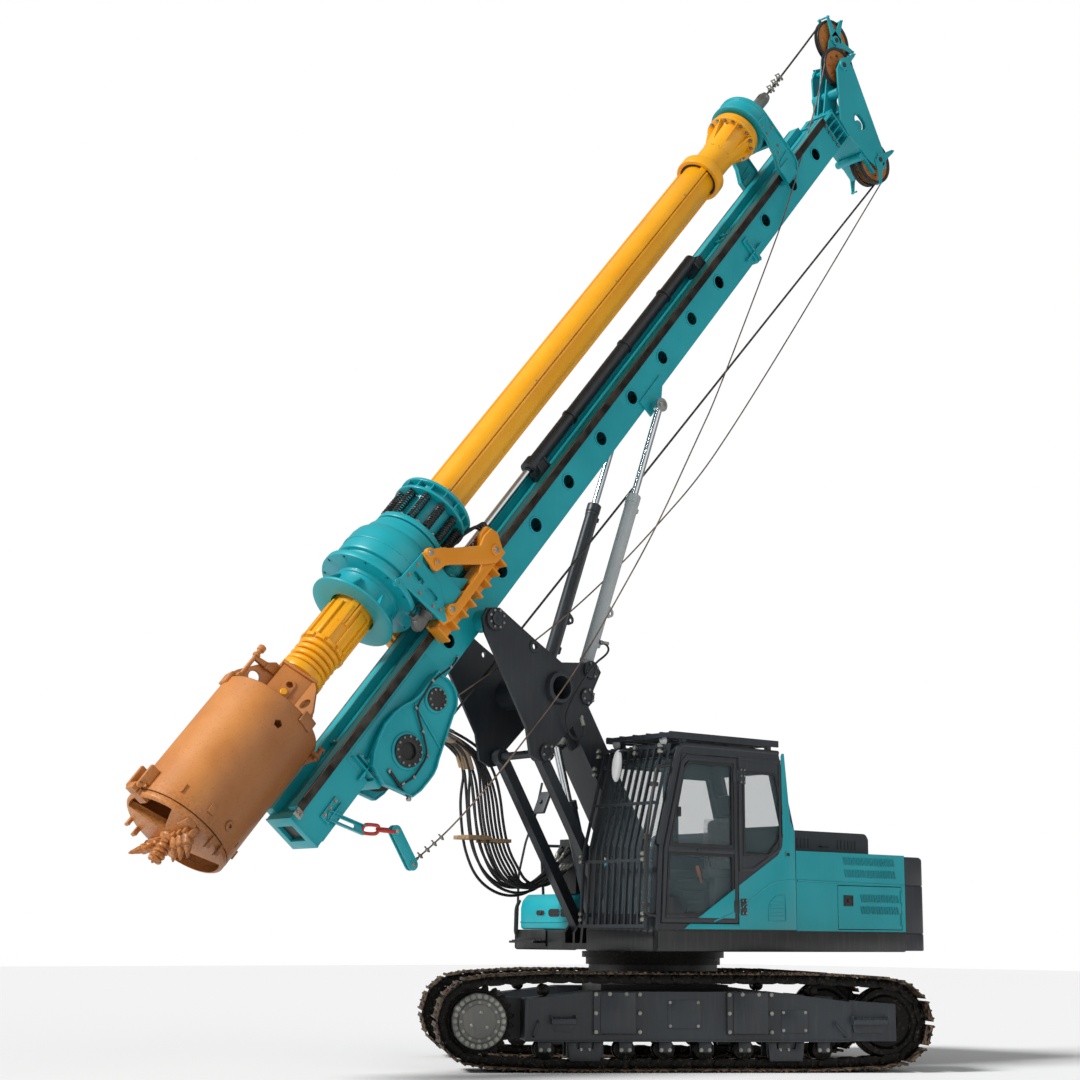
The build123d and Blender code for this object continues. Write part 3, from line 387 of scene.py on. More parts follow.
foot_up = (MAST @ Vector((0, 0, 0))).dot(MAST.to_3x3() @ Vector((0, 0, 1)))
RUST_FULL, RUST_NONE = foot_up - 4.1, foot_up - 3.4
bucket_paint = worn_coat_and_painted_shade("bucket_worn_enamel_and_painted_shade", "bb7436", "cf8845", "63371a", "5a3219", RUST_FULL, RUST_NONE)
print("bucket rust begins", round(RUST_NONE, 2), "m along the mast's axis")

# %% [markdown]
# ## Paint the frame
# Each carried-over solid takes the finish its real piece has: enamel on the plate work,
# chrome on the rods, mud on the tracks, dust on the chassis; the rails are painted, and grease and rubbed steel come
# later as strips.

# %% Finishes of the carried-over solids
def paint(material, *names):
    """Give frame nodes one finish."""
    for name in names:
        mesh = nodes[name].data
        mesh.materials.clear()
        mesh.materials.append(material)


paint(teal, "mast_box", "mast_rails", "winch_housing", "mast_head", "drive_housing", "drive_frame", "kelly_guide",
    "left_housing", "left_service_door", "right_housing", "right_service_door", "front_box")
paint(charcoal, "side_frame_left", "side_frame_right", "front_guard", "roof_guard", "cab_shell", "cab_door",
    "counterweight", "boom_arm", "boom_links", "triangle_frame", "luff_cylinder", "crowd_cylinder", "engine_hood",
    "engine_block")
paint(skirt_black, "centre_frame", "upper_frame", "hose_stand")
paint(shoe_steel, "track_left", "track_right")
paint(roller_steel, "track_rollers", "carrier_rollers", "idlers", "slewing_ring")
paint(cast_grey, "sprockets")
paint(silver, "mast_cylinders")
paint(orange, "drive_carriage")
paint(teal, "drive_motors")
paint(chrome, "luff_rod", "mast_cylinder_rods", "crowd_rod")
paint(glass, "cab_windows", "door_windows")
paint(rubber, "hose_1", "hose_2", "hose_3", "hose_4")
paint(plywood, "hose_clamp")
paint(vinyl, "cab_interior")
paint(yellow, "kelly_bar")
paint(bucket_paint, "drilling_bucket", "bucket_floor")
paint(pulley_brown, "main_top_pulley", "aux_top_pulley", "main_rear_pulley", "aux_rear_pulley")
paint(rope_steel, "main_winch_drum", "aux_winch_drum")
bare = [name for name, node in nodes.items() if not node.data.materials]
print("nodes without a finish:", bare)

# %% [markdown]
# ## A small workshop
# Every added piece starts from a primitive at its size and place, gets its edges eased as
# a cutter's file would, and is joined, copied and set in its frame by the same few tools.

# %% Modelling tools
def spin(degrees, axis="Z"):
    """Rotation about an axis, in degrees."""
    return Matrix.Rotation(math.radians(degrees), 4, axis)


def only(*pieces):
    """Select these pieces alone, the first one active."""
    bpy.ops.object.select_all(action="DESELECT")
    for piece in pieces:
        piece.select_set(True)
    bpy.context.view_layer.objects.active = pieces[0]
    return pieces[0]


def eased(piece, width, angle=32):
    """Bevel the sharp edges, then shade smooth across the rest."""
    only(piece)
    bpy.ops.object.transform_apply(location=True, rotation=True, scale=True)
    if width:
        bevel = piece.modifiers.new("ease", "BEVEL")
        bevel.width, bevel.segments = width, 2
        bevel.limit_method, bevel.angle_limit = "ANGLE", math.radians(angle)
        bpy.ops.object.modifier_apply(modifier="ease")
    bpy.ops.object.shade_smooth_by_angle(angle=math.radians(angle))
    return piece


def crate(x, y, z, edge=0.004):
    """Box between three pairs of limits, with eased edges."""
    bpy.ops.object.select_all(action="DESELECT")
    middle = [(low + high) / 2 for low, high in (x, y, z)]
    bpy.ops.mesh.primitive_cube_add(size=1, location=middle)
    bpy.ops.transform.resize(value=[high - low for low, high in (x, y, z)])
    return eased(bpy.context.object, edge)


def bar(foot, head, radius, sides=24, edge=0.003):
    """Round bar between two points."""
    bpy.ops.object.select_all(action="DESELECT")
    foot, head = Vector(foot), Vector(head)
    aim = (head - foot).to_track_quat("Z", "Y").to_euler()
    bpy.ops.mesh.primitive_cylinder_add(vertices=sides, radius=radius, depth=(head - foot).length,
        location=(foot + head) / 2, rotation=aim)
    return eased(bpy.context.object, edge)


def lathe(rows, sides=40, edge=0.003, hollow=False):
    """Turned piece on the Z axis from rows of (radius, height); a hollow one closes on itself."""
    bpy.ops.object.select_all(action="DESELECT")
    fill = "NOTHING" if hollow else "NGON"
    bpy.ops.mesh.primitive_circle_add(vertices=sides, radius=rows[0][0], location=(0, 0, rows[0][1]), fill_type=fill)
    piece = bpy.context.object
    bpy.ops.object.transform_apply(location=True)
    bpy.ops.object.mode_set(mode="EDIT")
    bpy.ops.mesh.select_all(action="SELECT")
    wanted = list(rows[1:]) + ([rows[0]] if hollow else [])
    for (before, low), (radius, high) in zip(rows, wanted):
        bpy.ops.mesh.extrude_edges_move(TRANSFORM_OT_translate={"value": (0, 0, high - low)})
        bpy.ops.transform.resize(value=(radius / before, radius / before, 1))
    if not hollow:
        bpy.ops.mesh.edge_face_add()
    bpy.ops.mesh.select_all(action="SELECT")
    bpy.ops.mesh.remove_doubles(threshold=0.00005)
    bpy.ops.mesh.normals_make_consistent(inside=False)
    bpy.ops.object.mode_set(mode="OBJECT")
    return eased(piece, edge)


def flat_ring(inner, outer, low, high, sides=40, edge=0.003):
    """Plain ring on the Z axis between two radii and two heights."""
    return lathe([(inner, low), (outer, low), (outer, high), (inner, high)], sides, edge, hollow=True)


def drawn(outline, y):
    """Flat face of that outline in X and Z at one Y, open for editing and selected."""
    bpy.ops.object.select_all(action="DESELECT")
    bpy.ops.mesh.primitive_circle_add(vertices=len(outline), radius=1, fill_type="NGON")
    piece = bpy.context.object
    for corner, (x, z) in zip(piece.data.vertices, outline):
        corner.co = (x, y, z)
    bpy.ops.object.mode_set(mode="EDIT")
    bpy.ops.mesh.select_all(action="SELECT")
    return piece


def thickened(piece, depth, edge, angle=32):
    """Extrude what is selected along Y, leave editing and ease the edges."""
    bpy.ops.mesh.extrude_region_move(TRANSFORM_OT_translate={"value": (0, depth, 0)})
    bpy.ops.mesh.select_all(action="SELECT")
    bpy.ops.mesh.normals_make_consistent(inside=False)
    bpy.ops.object.mode_set(mode="OBJECT")
    return eased(piece, edge, angle)


def cut_plate(outline, y, edge=0.004, angle=32):
    """Plate of that outline in X and Z, between two values of Y."""
    return thickened(drawn(outline, y[0]), y[1] - y[0], edge, angle)


def rim_plate(outline, width, y, edge=0.002):
    """Flat ring of that width inside an outline in X and Z, between two values of Y."""
    piece = drawn(outline, y[0])
    bpy.ops.mesh.inset(thickness=width)
    bpy.ops.mesh.delete(type="FACE")
    bpy.ops.mesh.select_all(action="SELECT")
    return thickened(piece, y[1] - y[0], edge)


def turned_to(piece, place, aim):
    """Move a piece from the origin to a place, with its Z along a direction."""
    piece.data.transform(Matrix.Translation(place) @ Vector(aim).to_track_quat("Z", "Y").to_matrix().to_4x4())
    return piece


def on_axle(piece, x, z):
    """Turned piece from its Z axis to an axle across the middle plane, at X and Z."""
    return turned_to(piece, (x, 0, z), (0, 1, 0))


def twin_of(piece):
    """A copy of a piece, in the scene, with data of its own."""
    twin = piece.copy()
    twin.data = piece.data.copy()
    scene.collection.objects.link(twin)
    return twin


def copies(model, places, keep=False):
    """Copies of a model under each matrix or at each point; the model itself goes unless it is kept."""
    twins = []
    for place in places:
        twins.append(twin_of(model))
        twins[-1].data.transform(place if isinstance(place, Matrix) else Matrix.Translation(place))
    if not keep:
        bpy.data.objects.remove(model)
    return twins


def joined(*pieces):
    """One piece from several."""
    flat = []
    for piece in pieces:
        flat += piece if isinstance(piece, list) else [piece]
    only(*flat)
    if len(flat) > 1:
        bpy.ops.object.join()
    return bpy.context.object


def flipped(piece):
    """The piece changed to its mirror image across the middle plane."""
    piece.data.transform(Matrix.Scale(-1, 4, (0, 1, 0)))
    piece.data.flip_normals()
    return piece


def mirrored(piece):
    """The piece and its mirror image, as one."""
    return joined(piece, flipped(twin_of(piece)))


def both(*pieces):
    """The pieces and their mirror image, as one."""
    return mirrored(joined(*pieces))


def settle(piece, name, material, body, frame=UPRIGHT, stands_for=()):
    """Name a piece, set it in its frame, finish it and let it ride on its body."""
    piece.name = piece.data.name = name
    piece.data.transform(frame)
    piece.data.materials.clear()
    piece.data.materials.append(material)
    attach(piece, body)
    if stands_for:
        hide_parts(*stands_for)
    print(name, len(piece.data.polygons), "faces")
    return piece


def round_the(centre, radius, count, first=0.0):
    """Matrices round a circle about the Y axis through a point, each turned with its place."""
    return [Matrix.Translation(centre) @ Matrix.Rotation(first + math.tau * i / count, 4, "Y") @
        Matrix.Translation((radius, 0, 0)) for i in range(count)]


def about_z(count, first=0.0):
    """Rotations about the Z axis that share out a full turn."""
    return [Matrix.Rotation(first + math.tau * i / count, 4, "Z") for i in range(count)]


def bolt(size, aim=(0, 1, 0), washer=True):
    """Hexagon bolt head of that width over flats, on its washer, facing a direction."""
    head = lathe([(size * 0.577, 0), (size * 0.577, size * 0.55), (size * 0.48, size * 0.64)], sides=6, edge=0)
    if washer:
        head = joined(head, lathe([(size * 0.85, -0.001), (size * 0.85, size * 0.14)], sides=12, edge=0))
    return turned_to(head, (0, 0, 0), aim)


def swept(line, radius, sides=12):
    """Round bar swept along a line of points, closed at its ends."""
    data = bpy.data.curves.new("run", "CURVE")
    data.dimensions, data.bevel_depth, data.bevel_resolution, data.use_fill_caps = "3D", radius, sides // 4, True
    spline = data.splines.new("POLY")
    spline.points.add(len(line) - 1)
    for point, place in zip(spline.points, line):
        point.co = (*place, 1)
    run = bpy.data.objects.new("run", data)
    scene.collection.objects.link(run)
    only(run)
    bpy.ops.object.convert(target="MESH")
    return eased(bpy.context.object, 0)


BEND_STEPS = 6


def tube_run(points, radius, sides=12, bend=0.06):
    """Bent tube through points, each corner rounded."""
    points = [Vector(p) for p in points]
    line = [points[0]]
    for before, at, after in zip(points, points[1:], points[2:]):
        back, ahead = (before - at), (after - at)
        reach = min(bend, 0.45 * back.length, 0.45 * ahead.length)
        a, b = at + back.normalized() * reach, at + ahead.normalized() * reach
        line += [a.lerp(at, t).lerp(at.lerp(b, t), t) for t in (i / BEND_STEPS for i in range(BEND_STEPS + 1))]
    return swept(line + [points[-1]], radius, sides)


def helix(radius, wire, low, high, turns, sides=4, steps=14):
    """Coil of round wire on the Z axis between two heights."""
    count = round(turns * steps)
    rise = (high - low - 2 * wire) / count
    return swept([(radius * math.cos(math.tau * i / steps), radius * math.sin(math.tau * i / steps),
        low + wire + rise * i) for i in range(count + 1)], wire, sides)


def drilled(piece, *drills):
    """The piece with the drills cut out of it."""
    tool = joined(*drills)
    only(piece)
    cut = piece.modifiers.new("drill", "BOOLEAN")
    cut.operation, cut.object, cut.solver = "DIFFERENCE", tool, "EXACT"
    bpy.ops.object.modifier_apply(modifier="drill")
    bpy.data.objects.remove(tool)
    return eased(piece, 0)


def around(radius, degrees, height):
    """Point at that radius, angle and height round the Z axis."""
    return (radius * math.cos(math.radians(degrees)), radius * math.sin(math.radians(degrees)), height)


def oval(x, z, half, radius, count=8):
    """Outline of a slot along X with round ends."""
    turns = [math.pi * (i / count - 0.5) for i in range(count + 1)]
    return [(x + sign * (half + radius * math.cos(a)), z + sign * radius * math.sin(a)) for sign in (1, -1)
        for a in turns]


hardware = {}


def fasten(body, pieces, frame=UPRIGHT):
    """Put plated bolts aside for a body, in the rig's frame, to be joined at the end."""
    for piece in pieces:
        piece.data.transform(frame)
    hardware.setdefault(body, []).extend(pieces)


print("tools ready")

# %% [markdown]
# ## Crawler tracks
# A chain of forged links carries a triple-grouser shoe on every link, bolted from outside.
# The pitch is 203 mm, so the loop takes a whole number of shoes. The loop is the tight
# belt round the end wheels, the lower rollers and the two carriers.

# %% Where the belt runs
SPROCKET, IDLER, WHEEL_REACH = (1.906, 0.468), (-2.08, 0.468), 0.435
ROLLER_XS, ROLLER_Z = [1.274 - 0.387 * i for i in range(8)], 0.207
CARRIER_XS, CARRIER_Z, BELT_TOP = (1.278, -1.345), 0.76, 0.94
TRACK_Y, SHOE_HALF, PITCH, PIN_DEPTH = 1.195, 0.3, 0.203, 0.075


def belt(depth):
    """Convex loop at that depth under the grousers' tips, as points in X and Z."""
    wheels = [(SPROCKET, WHEEL_REACH), (IDLER, WHEEL_REACH)]
    wheels += [((x, ROLLER_Z), ROLLER_Z) for x in (ROLLER_XS[0], ROLLER_XS[-1])]
    wheels += [((x, CARRIER_Z), BELT_TOP - CARRIER_Z) for x in CARRIER_XS]
    turns = [math.tau * i / 240 for i in range(240)]
    spots = sorted((c[0] + (r - depth) * math.cos(a), c[1] + (r - depth) * math.sin(a)) for c, r in wheels
        for a in turns)
    loop = []
    for run in (spots, spots[::-1]):
        side = []
        for p in run:
            while len(side) > 1:
                (ax, az), (bx, bz) = side[-2:]
                if (bx - ax) * (p[1] - az) > (bz - az) * (p[0] - ax):
                    break
                side.pop()
            side.append(p)
        loop += side[:-1]
    return [Vector((x, 0, z)) for x, z in loop]


def shoe_places():
    """A matrix for each shoe: X along the belt, Z outwards, at the middle of its two pins."""
    loop = belt(PIN_DEPTH)
    loop.append(loop[0])
    runs = [(b - a).length for a, b in zip(loop, loop[1:])]
    count = round(sum(runs) / PITCH)
    step = sum(runs) / count
    pins, passed, i = [], 0.0, 0
    for k in range(count):
        while passed + runs[i] < k * step:
            passed += runs[i]
            i += 1
        pins.append(loop[i].lerp(loop[i + 1], (k * step - passed) / runs[i]))
    places = []
    for a, b in zip(pins, pins[1:] + pins[:1]):
        along = (b - a).normalized()
        frame_of_shoe = Matrix((along, (0, -1, 0), along.cross(Vector((0, -1, 0))))).transposed().to_4x4()
        places.append(Matrix.Translation((a + b) / 2) @ frame_of_shoe)
    return places


places = shoe_places()
print(len(places), "shoes a side at", round((places[0].translation - places[1].translation).length * 1000, 1), "mm")

# %% One shoe, its bolts and its pair of links
GROUSER = [(-0.094, 0.048), (-0.094, 0.062), (-0.086, 0.075), (-0.076, 0.075), (-0.07, 0.06), (-0.014, 0.059),
    (-0.008, 0.072), (0.004, 0.072), (0.01, 0.059), (0.062, 0.06), (0.068, 0.073), (0.08, 0.073), (0.088, 0.06),
    (0.106, 0.056), (0.104, 0.046), (0.0, 0.046)]
LINK = [(-0.122, 0.0), (-0.112, -0.03), (-0.07, -0.036), (-0.04, -0.044), (0.05, -0.044), (0.092, -0.036),
    (0.122, -0.012), (0.122, 0.014), (0.095, 0.034), (0.06, 0.046), (-0.062, 0.046), (-0.104, 0.03)]
shoe = cut_plate(GROUSER, (-SHOE_HALF, SHOE_HALF), 0.0022)
head = lathe([(0.016, 0.059), (0.016, 0.069), (0.013, 0.071)], sides=6, edge=0)
heads = copies(head, [(x, y, 0) for x in (-0.04, 0.036) for y in (-0.105, -0.065, 0.065, 0.105)])
shoe = joined(shoe, heads)
rail = joined(cut_plate(LINK, (0.062, 0.098), 0.004), bar((-0.1015, 0.05, 0), (-0.1015, 0.11, 0), 0.03, 14, 0.003))
chain = joined(mirrored(rail), bar((-0.1015, -0.12, 0), (-0.1015, 0.12, 0), 0.019, 12, 0))
print("shoe has", len(shoe.data.polygons), "faces and its links", len(chain.data.polygons))

# %% Both tracks
for side, y in (("left", TRACK_Y), ("right", -TRACK_Y)):
    laid = [Matrix.Translation((0, y, 0)) @ place for place in places]
    last = side == "right"
    settle(joined(copies(shoe, laid, not last)), side + "_track_shoes", shoe_steel, "undercarriage", UNDER,
        ["track_" + side])
    settle(joined(copies(chain, laid, not last)), side + "_track_links", roller_steel, "undercarriage", UNDER)
print("tracks laid")

# %% [markdown]
# ## Wheels of the running gear
# The rear drive is a sprocket bolted to a hydraulic final drive, whose grey cover shows
# its ring of bolts and three plugs. The front idler is a flanged casting. Bottom rollers
# hang on bolted collars, and two carriers hold the upper run.

# %% Final drives, with teeth that meet the links
def both_sides(pieces, name, material, stands_for=()):
    """The pieces on the left track and their mirror image on the right one."""
    settle(both(*pieces), name, material, "undercarriage", UNDER, stands_for)


x, z = SPROCKET
drum = on_axle(lathe([(0.2, 1.012), (0.2, 1.16), (0.262, 1.165), (0.262, 1.392), (0.254, 1.402), (0.206, 1.404),
    (0.2, 1.424), (0.196, 1.432), (0.16, 1.432), (0.154, 1.446), (0.04, 1.45)], 64), x, z)
ring = copies(bolt(0.026), round_the((x, 1.402, z), 0.232, 24))
plugs = copies(bolt(0.02), round_the((x, 1.446, z), 0.085, 3, 0.4))
foot_bolts = copies(bolt(0.018), round_the((x, 1.431, z), 0.178, 12))
both_sides([drum], "final_drives", cast_grey, ["sprockets"])
fasten("undercarriage", [both(ring, plugs, foot_bolts)], UNDER)
tooth = cut_plate([(0.285, -0.04), (0.33, -0.026), (0.352, -0.009), (0.352, 0.009), (0.33, 0.026), (0.285, 0.04)],
    (1.165, 1.225), 0.004)
teeth = [Matrix.Translation((x, 0, z)) @ Matrix.Rotation(math.tau * i / 21, 4, "Y") for i in range(21)]
disc = on_axle(flat_ring(0.262, 0.3, 1.165, 1.225, 64), x, z)
both_sides([disc, copies(tooth, teeth)], "sprocket_teeth", roller_steel)

# %% Idlers, rollers and carriers
x, z = IDLER
wheel = on_axle(lathe([(0.06, 1.02), (0.06, 1.08), (0.1, 1.09), (0.12, 1.13), (0.235, 1.14), (0.262, 1.112),
    (0.318, 1.112), (0.318, 1.15), (0.345, 1.158), (0.345, 1.232), (0.318, 1.24), (0.318, 1.278), (0.262, 1.278),
    (0.235, 1.25), (0.12, 1.26), (0.1, 1.3), (0.06, 1.312), (0.06, 1.35)], 64), x, z)
both_sides([wheel], "idler_wheels", roller_steel, ["idlers"])
ROLLER = [(0.04, 1.03), (0.04, 1.08), (0.098, 1.086), (0.098, 1.108), (0.081, 1.114), (0.081, 1.172), (0.068, 1.178),
    (0.068, 1.212), (0.081, 1.218), (0.081, 1.276), (0.098, 1.282), (0.098, 1.304), (0.04, 1.31), (0.04, 1.36)]
rollers = copies(on_axle(lathe(ROLLER, 36), 0, ROLLER_Z), [(x, 0, 0) for x in ROLLER_XS])
carriers = copies(on_axle(lathe([(0.03, 1.01), (0.03, 1.09), (0.056, 1.094), (0.056, 1.15), (0.048, 1.156),
    (0.048, 1.234), (0.056, 1.24), (0.056, 1.296), (0.026, 1.3), (0.026, 1.33)], 32), 0, CARRIER_Z),
    [(x, 0, 0) for x in CARRIER_XS])
both_sides([rollers, carriers], "bottom_and_top_rollers", roller_steel, ["track_rollers", "carrier_rollers"])
print("running gear turned")

# %% [markdown]
# ## Side frames
# The boxed side frame carries two deep covers, flat inspection plates with a bolt in each
# corner, two folded steps with a toothed tread, lifting loops and the roller guards.

# %% Side frame dressing
FACE, COVER_FACE = 1.4, 1.44
COVERS = ((0.344, 0.823), (-0.939, -0.471))
dressing, heads = [], []
for low, high in COVERS:
    middle = (low + high) / 2
    dressing.append(crate((low, high), (FACE - 0.002, FACE + 0.006), (0.345, 0.352), 0.002))
    dressing.append(cut_plate([(middle - 0.17, 0.36), (middle + 0.17, 0.36), (middle + 0.17, 0.742),
        (middle - 0.17, 0.742)], (COVER_FACE - 0.004, COVER_FACE + 0.012), 0.008))
    rows = [(x, z) for x in (low + 0.028, high - 0.028) for z in (0.375, 0.55, 0.725)]
    rows += [(middle - 0.08, 0.728), (middle + 0.08, 0.728)]
    heads += copies(bolt(0.022), [(x, COVER_FACE if abs(x - middle) > 0.1 else COVER_FACE + 0.012, z)
        for x, z in rows])
for x, z, half, tall in ((-0.062, 0.54, 0.158, 0.132), (-1.141, 0.475, 0.13, 0.106)):
    dressing.append(crate((x - half, x + half), (FACE - 0.002, FACE + 0.008), (z - tall, z + tall), 0.003))
    heads += copies(bolt(0.018), [(x + i * (half - 0.022), FACE + 0.008, z + j * (tall - 0.022)) for i in (-1, 1)
        for j in (-1, 1)])
dressing.append(crate((-1.69, 1.47), (FACE - 0.003, FACE + 0.016), (0.283, 0.297), 0.003))
dressing.append(crate((1.44, 1.475), (FACE - 0.003, FACE + 0.02), (0.29, 0.69), 0.004))
for low, high in ((0.725, 1.059), (-1.244, -0.884)):
    dressing.append(cut_plate([(low, 0.29), (low + 0.02, 0.1), (high - 0.02, 0.1), (high, 0.29), (high - 0.075, 0.29),
        (high - 0.09, 0.215), (low + 0.09, 0.215), (low + 0.075, 0.29)], (1.346, 1.372), 0.004))
for x in ROLLER_XS:
    dressing.append(crate((x - 0.062, x + 0.062), (1.322, 1.366), (0.18, 0.292), 0.01))
    heads += copies(bolt(0.022), [(x - 0.04, 1.366, 0.205), (x + 0.04, 1.366, 0.205)])
both_sides(dressing, "side_frame_covers", charcoal)
fasten("undercarriage", [both(heads)], UNDER)

# %% Steps and lifting loops
steps = []
top = 0.5
for low, high in ((0.988, 1.228), (-2.05, -1.7)):
    steps.append(cut_plate([(low, top), (high, top), (high - 0.03, top - 0.13), (low + 0.03, top - 0.13)],
        (1.39, 1.402), 0.002))
    steps.append(crate((low, high), (1.398, 1.48), (top - 0.008, top), 0.002))
    steps.append(crate((low, high), (1.472, 1.48), (top - 0.05, top), 0.002))
    for end in (low, high - 0.008):
        steps.append(crate((end, end + 0.008), (1.398, 1.48), (top - 0.055, top + 0.03), 0.002))
    count = int((high - low) / 0.03)
    tread = lathe([(0.011, 0), (0.011, 0.006), (0.008, 0.009)], 10, 0)
    steps += copies(tread, [(low + 0.02 + 0.03 * i, y, top) for i in range(count) for y in (1.42, 1.45)])
for x, lean in ((1.37, 0.02), (-1.585, -0.05)):
    ends = [(x + lean, FACE, 0.33), (x + lean, FACE + 0.045, 0.35), (x - lean, FACE + 0.045, 0.455),
        (x - lean, FACE, 0.475)]
    steps += [bar(a, b, 0.011, 12, 0) for a, b in zip(ends, ends[1:])]
both_sides(steps, "undercarriage_steps", charcoal)
print("side frames dressed")

# %% [markdown]
# ## Left side of the upper
# The cab stands dark behind a bright diagonal: a pressed skin runs down from the rear
# pillar across the door, with one raised crease that carries on along the housing. Each
# part of that skin hangs on what it covers, so the door takes its own corner with it.

# %% Diagonal skins and the crease
SIDE = 1.39
SKIN = (SIDE - 0.004, SIDE + 0.007)
DIAGONAL = ((0.905, 1.332), (-0.464, 2.103))


def diagonal_z(x):
    """Height of the diagonal's upper edge at x."""
    (x0, z0), (x1, z1) = DIAGONAL
    return z0 + (x - x0) * (z1 - z0) / (x1 - x0)


pillar = [(0.135, 1.342), (0.135, diagonal_z(0.135)), (-0.42, diagonal_z(-0.42)), (-0.482, 2.16), (-0.494, 2.26),
    (-0.486, 3.07), (-0.5, 3.098), (-0.53, 3.098), (-0.606, 2.43), (-0.668, 2.32), (-0.676, 1.342)]
sill = [(0.88, 1.342), (0.135, 1.342), (0.135, 1.392), (0.8, 1.392)]
settle(joined(cut_plate(pillar, SKIN, 0.005), cut_plate(sill, SKIN, 0.003)), "rear_pillar_skin", teal, "upper")
corner = [(0.158, 1.41), (0.76, 1.41), (0.158, diagonal_z(0.158))]
settle(cut_plate(corner, SKIN, 0.005), "door_skin", teal, "cab_door")


def crease(points, name, body):
    """Raised bead along points in X and Z on the left side."""
    line = [(x, SIDE + 0.002, z) for x, z in points]
    return settle(tube_run(line, 0.011, bend=0.1), name, teal, body)


crease([(0.12, 1.546), (-0.335, 1.811), (-0.66, 1.842)], "pillar_crease", "upper")
crease([(0.484, 1.416), (0.17, 1.517)], "door_crease", "cab_door")
crease([(-0.7, 1.835), (-2.335, 1.812)], "housing_crease", "upper")
print("side skins on")

# %% [markdown]
# ## Louvres, latch and vent
# Slots are pressed outwards, so each has a mouth and a lip that throws a shadow. The mouth is a
# black strip of painted shade for the dark inside of the slot. They lean back a little, about
# twenty to a row above the door and fifteen to a row on it.

# %% Louvres on both sides
ROWS = ((-1.41, -2.19, 2.01, 2.085), (-1.425, -2.205, 1.885, 1.96), (-1.63, -2.245, 1.635, 1.71),
    (-1.63, -2.245, 1.515, 1.59))
LEAN = 0.022
for number, (front, rear, low, high) in enumerate(ROWS):
    count = round((front - rear) / 0.04)
    # The mouth is painted shade: a black strip where the slot's dark inside would be.
    mouth = cut_plate([(0, low), (0.017, low), (0.017 + LEAN, high), (LEAN, high)], (SIDE - 0.003, SIDE + 0.0015), 0)
    lip = cut_plate([(0.015, low - 0.003), (0.023, low - 0.003), (0.023 + LEAN, high + 0.003),
        (0.015 + LEAN, high + 0.003)], (SIDE - 0.003, SIDE + 0.009), 0.002)
    spots = [(rear + 0.04 * i, 0, 0) for i in range(count)]
    on_door = high < 1.8
    for side in ("left", "right"):
        body = side + "_service_door" if on_door else "upper"
        last = side == "right"
        pair = [joined(copies(mouth, spots, not last)), joined(copies(lip, spots, not last))]
        for piece, label, material in zip(pair, ("shade_mouths", "lips"), (skirt_black, teal)):
            settle(flipped(piece) if last else piece, f"{side}_louvre_{label}_{number}", material, body)
vent = [(-0.265, 1.43), (-0.28, 1.6), (-0.38, 1.68), (-0.52, 1.69), (-0.528, 1.42)]
blades = [crate((-0.5, -0.3), (SIDE + 0.002, SIDE + 0.012), (z, z + 0.012), 0.003)
    for z in (1.47, 1.505, 1.54, 1.575, 1.61)]
settle(joined(rim_plate(vent, 0.012, (SIDE + 0.002, SIDE + 0.013)), *blades), "pillar_vent", teal, "upper")
latch = joined(rim_plate([(-1.385, 1.7), (-1.385, 1.59), (-1.525, 1.59), (-1.525, 1.7)], 0.012, (SIDE, SIDE + 0.008)),
    crate((-1.515, -1.395), (SIDE - 0.002, SIDE + 0.002), (1.6, 1.69), 0),
    turned_to(lathe([(0.02, 0), (0.02, 0.01), (0.012, 0.016)], 20), (-1.455, SIDE, 1.645), (0, 1, 0)))
settle(latch, "service_latch", skirt_black, "left_service_door")
print("louvres pressed")

# %% [markdown]
# ## Deck skirt and counterweight
# The deck's edge is a folded black skirt with rounded corners. The counterweight is three
# castings stacked on one another, each with eased edges, so dark joints run round it.

# %% Skirt
skirt = [crate((-2.35, 1.262), (1.345, 1.402), (1.128, 1.334), 0.026),
    crate((-2.35, 0.712), (-1.402, -1.345), (1.128, 1.334), 0.026),
    crate((1.205, 1.262), (0.4, 1.402), (1.128, 1.334), 0.026),
    crate((0.655, 0.712), (-1.402, -0.405), (1.128, 1.334), 0.026)]
settle(joined(*skirt), "deck_skirt", skirt_black, "upper")


def slice_of(node, low, high, edge):
    """Copy of a frame solid between two heights, with eased edges."""
    piece = twin_of(nodes[node])
    piece.parent = None
    piece.matrix_world = Matrix.Identity(4)
    only(piece)
    bpy.ops.object.mode_set(mode="EDIT")
    bpy.ops.mesh.select_all(action="SELECT")
    bpy.ops.mesh.remove_doubles(threshold=0.0001)
    for height, above in ((low, False), (high, True)):
        bpy.ops.mesh.select_all(action="SELECT")
        bpy.ops.mesh.bisect(plane_co=(0, 0, height), plane_no=(0, 0, 1), use_fill=True, clear_outer=above,
            clear_inner=not above)
    bpy.ops.mesh.select_all(action="SELECT")
    bpy.ops.mesh.dissolve_limited(angle_limit=math.radians(2))
    bpy.ops.object.mode_set(mode="OBJECT")
    return eased(piece, edge, angle=28)


JOINTS = (1.132, 1.318, 1.818, 2.125)
layers = [slice_of("counterweight", low, high, 0.012) for low, high in zip(JOINTS, JOINTS[1:])]
settle(joined(*layers), "counterweight_castings", charcoal, "upper", stands_for=["counterweight"])
print("counterweight stacked")

# %% [markdown]
# ## Cab
# Rubber beads hold the panes, the door has a raised frame, a latch bar and leaf hinges, and
# a bent grab rail runs up ahead of it. Behind the glass are a seat still wrapped in its
# clear cover, two consoles with levers and a display on a post.

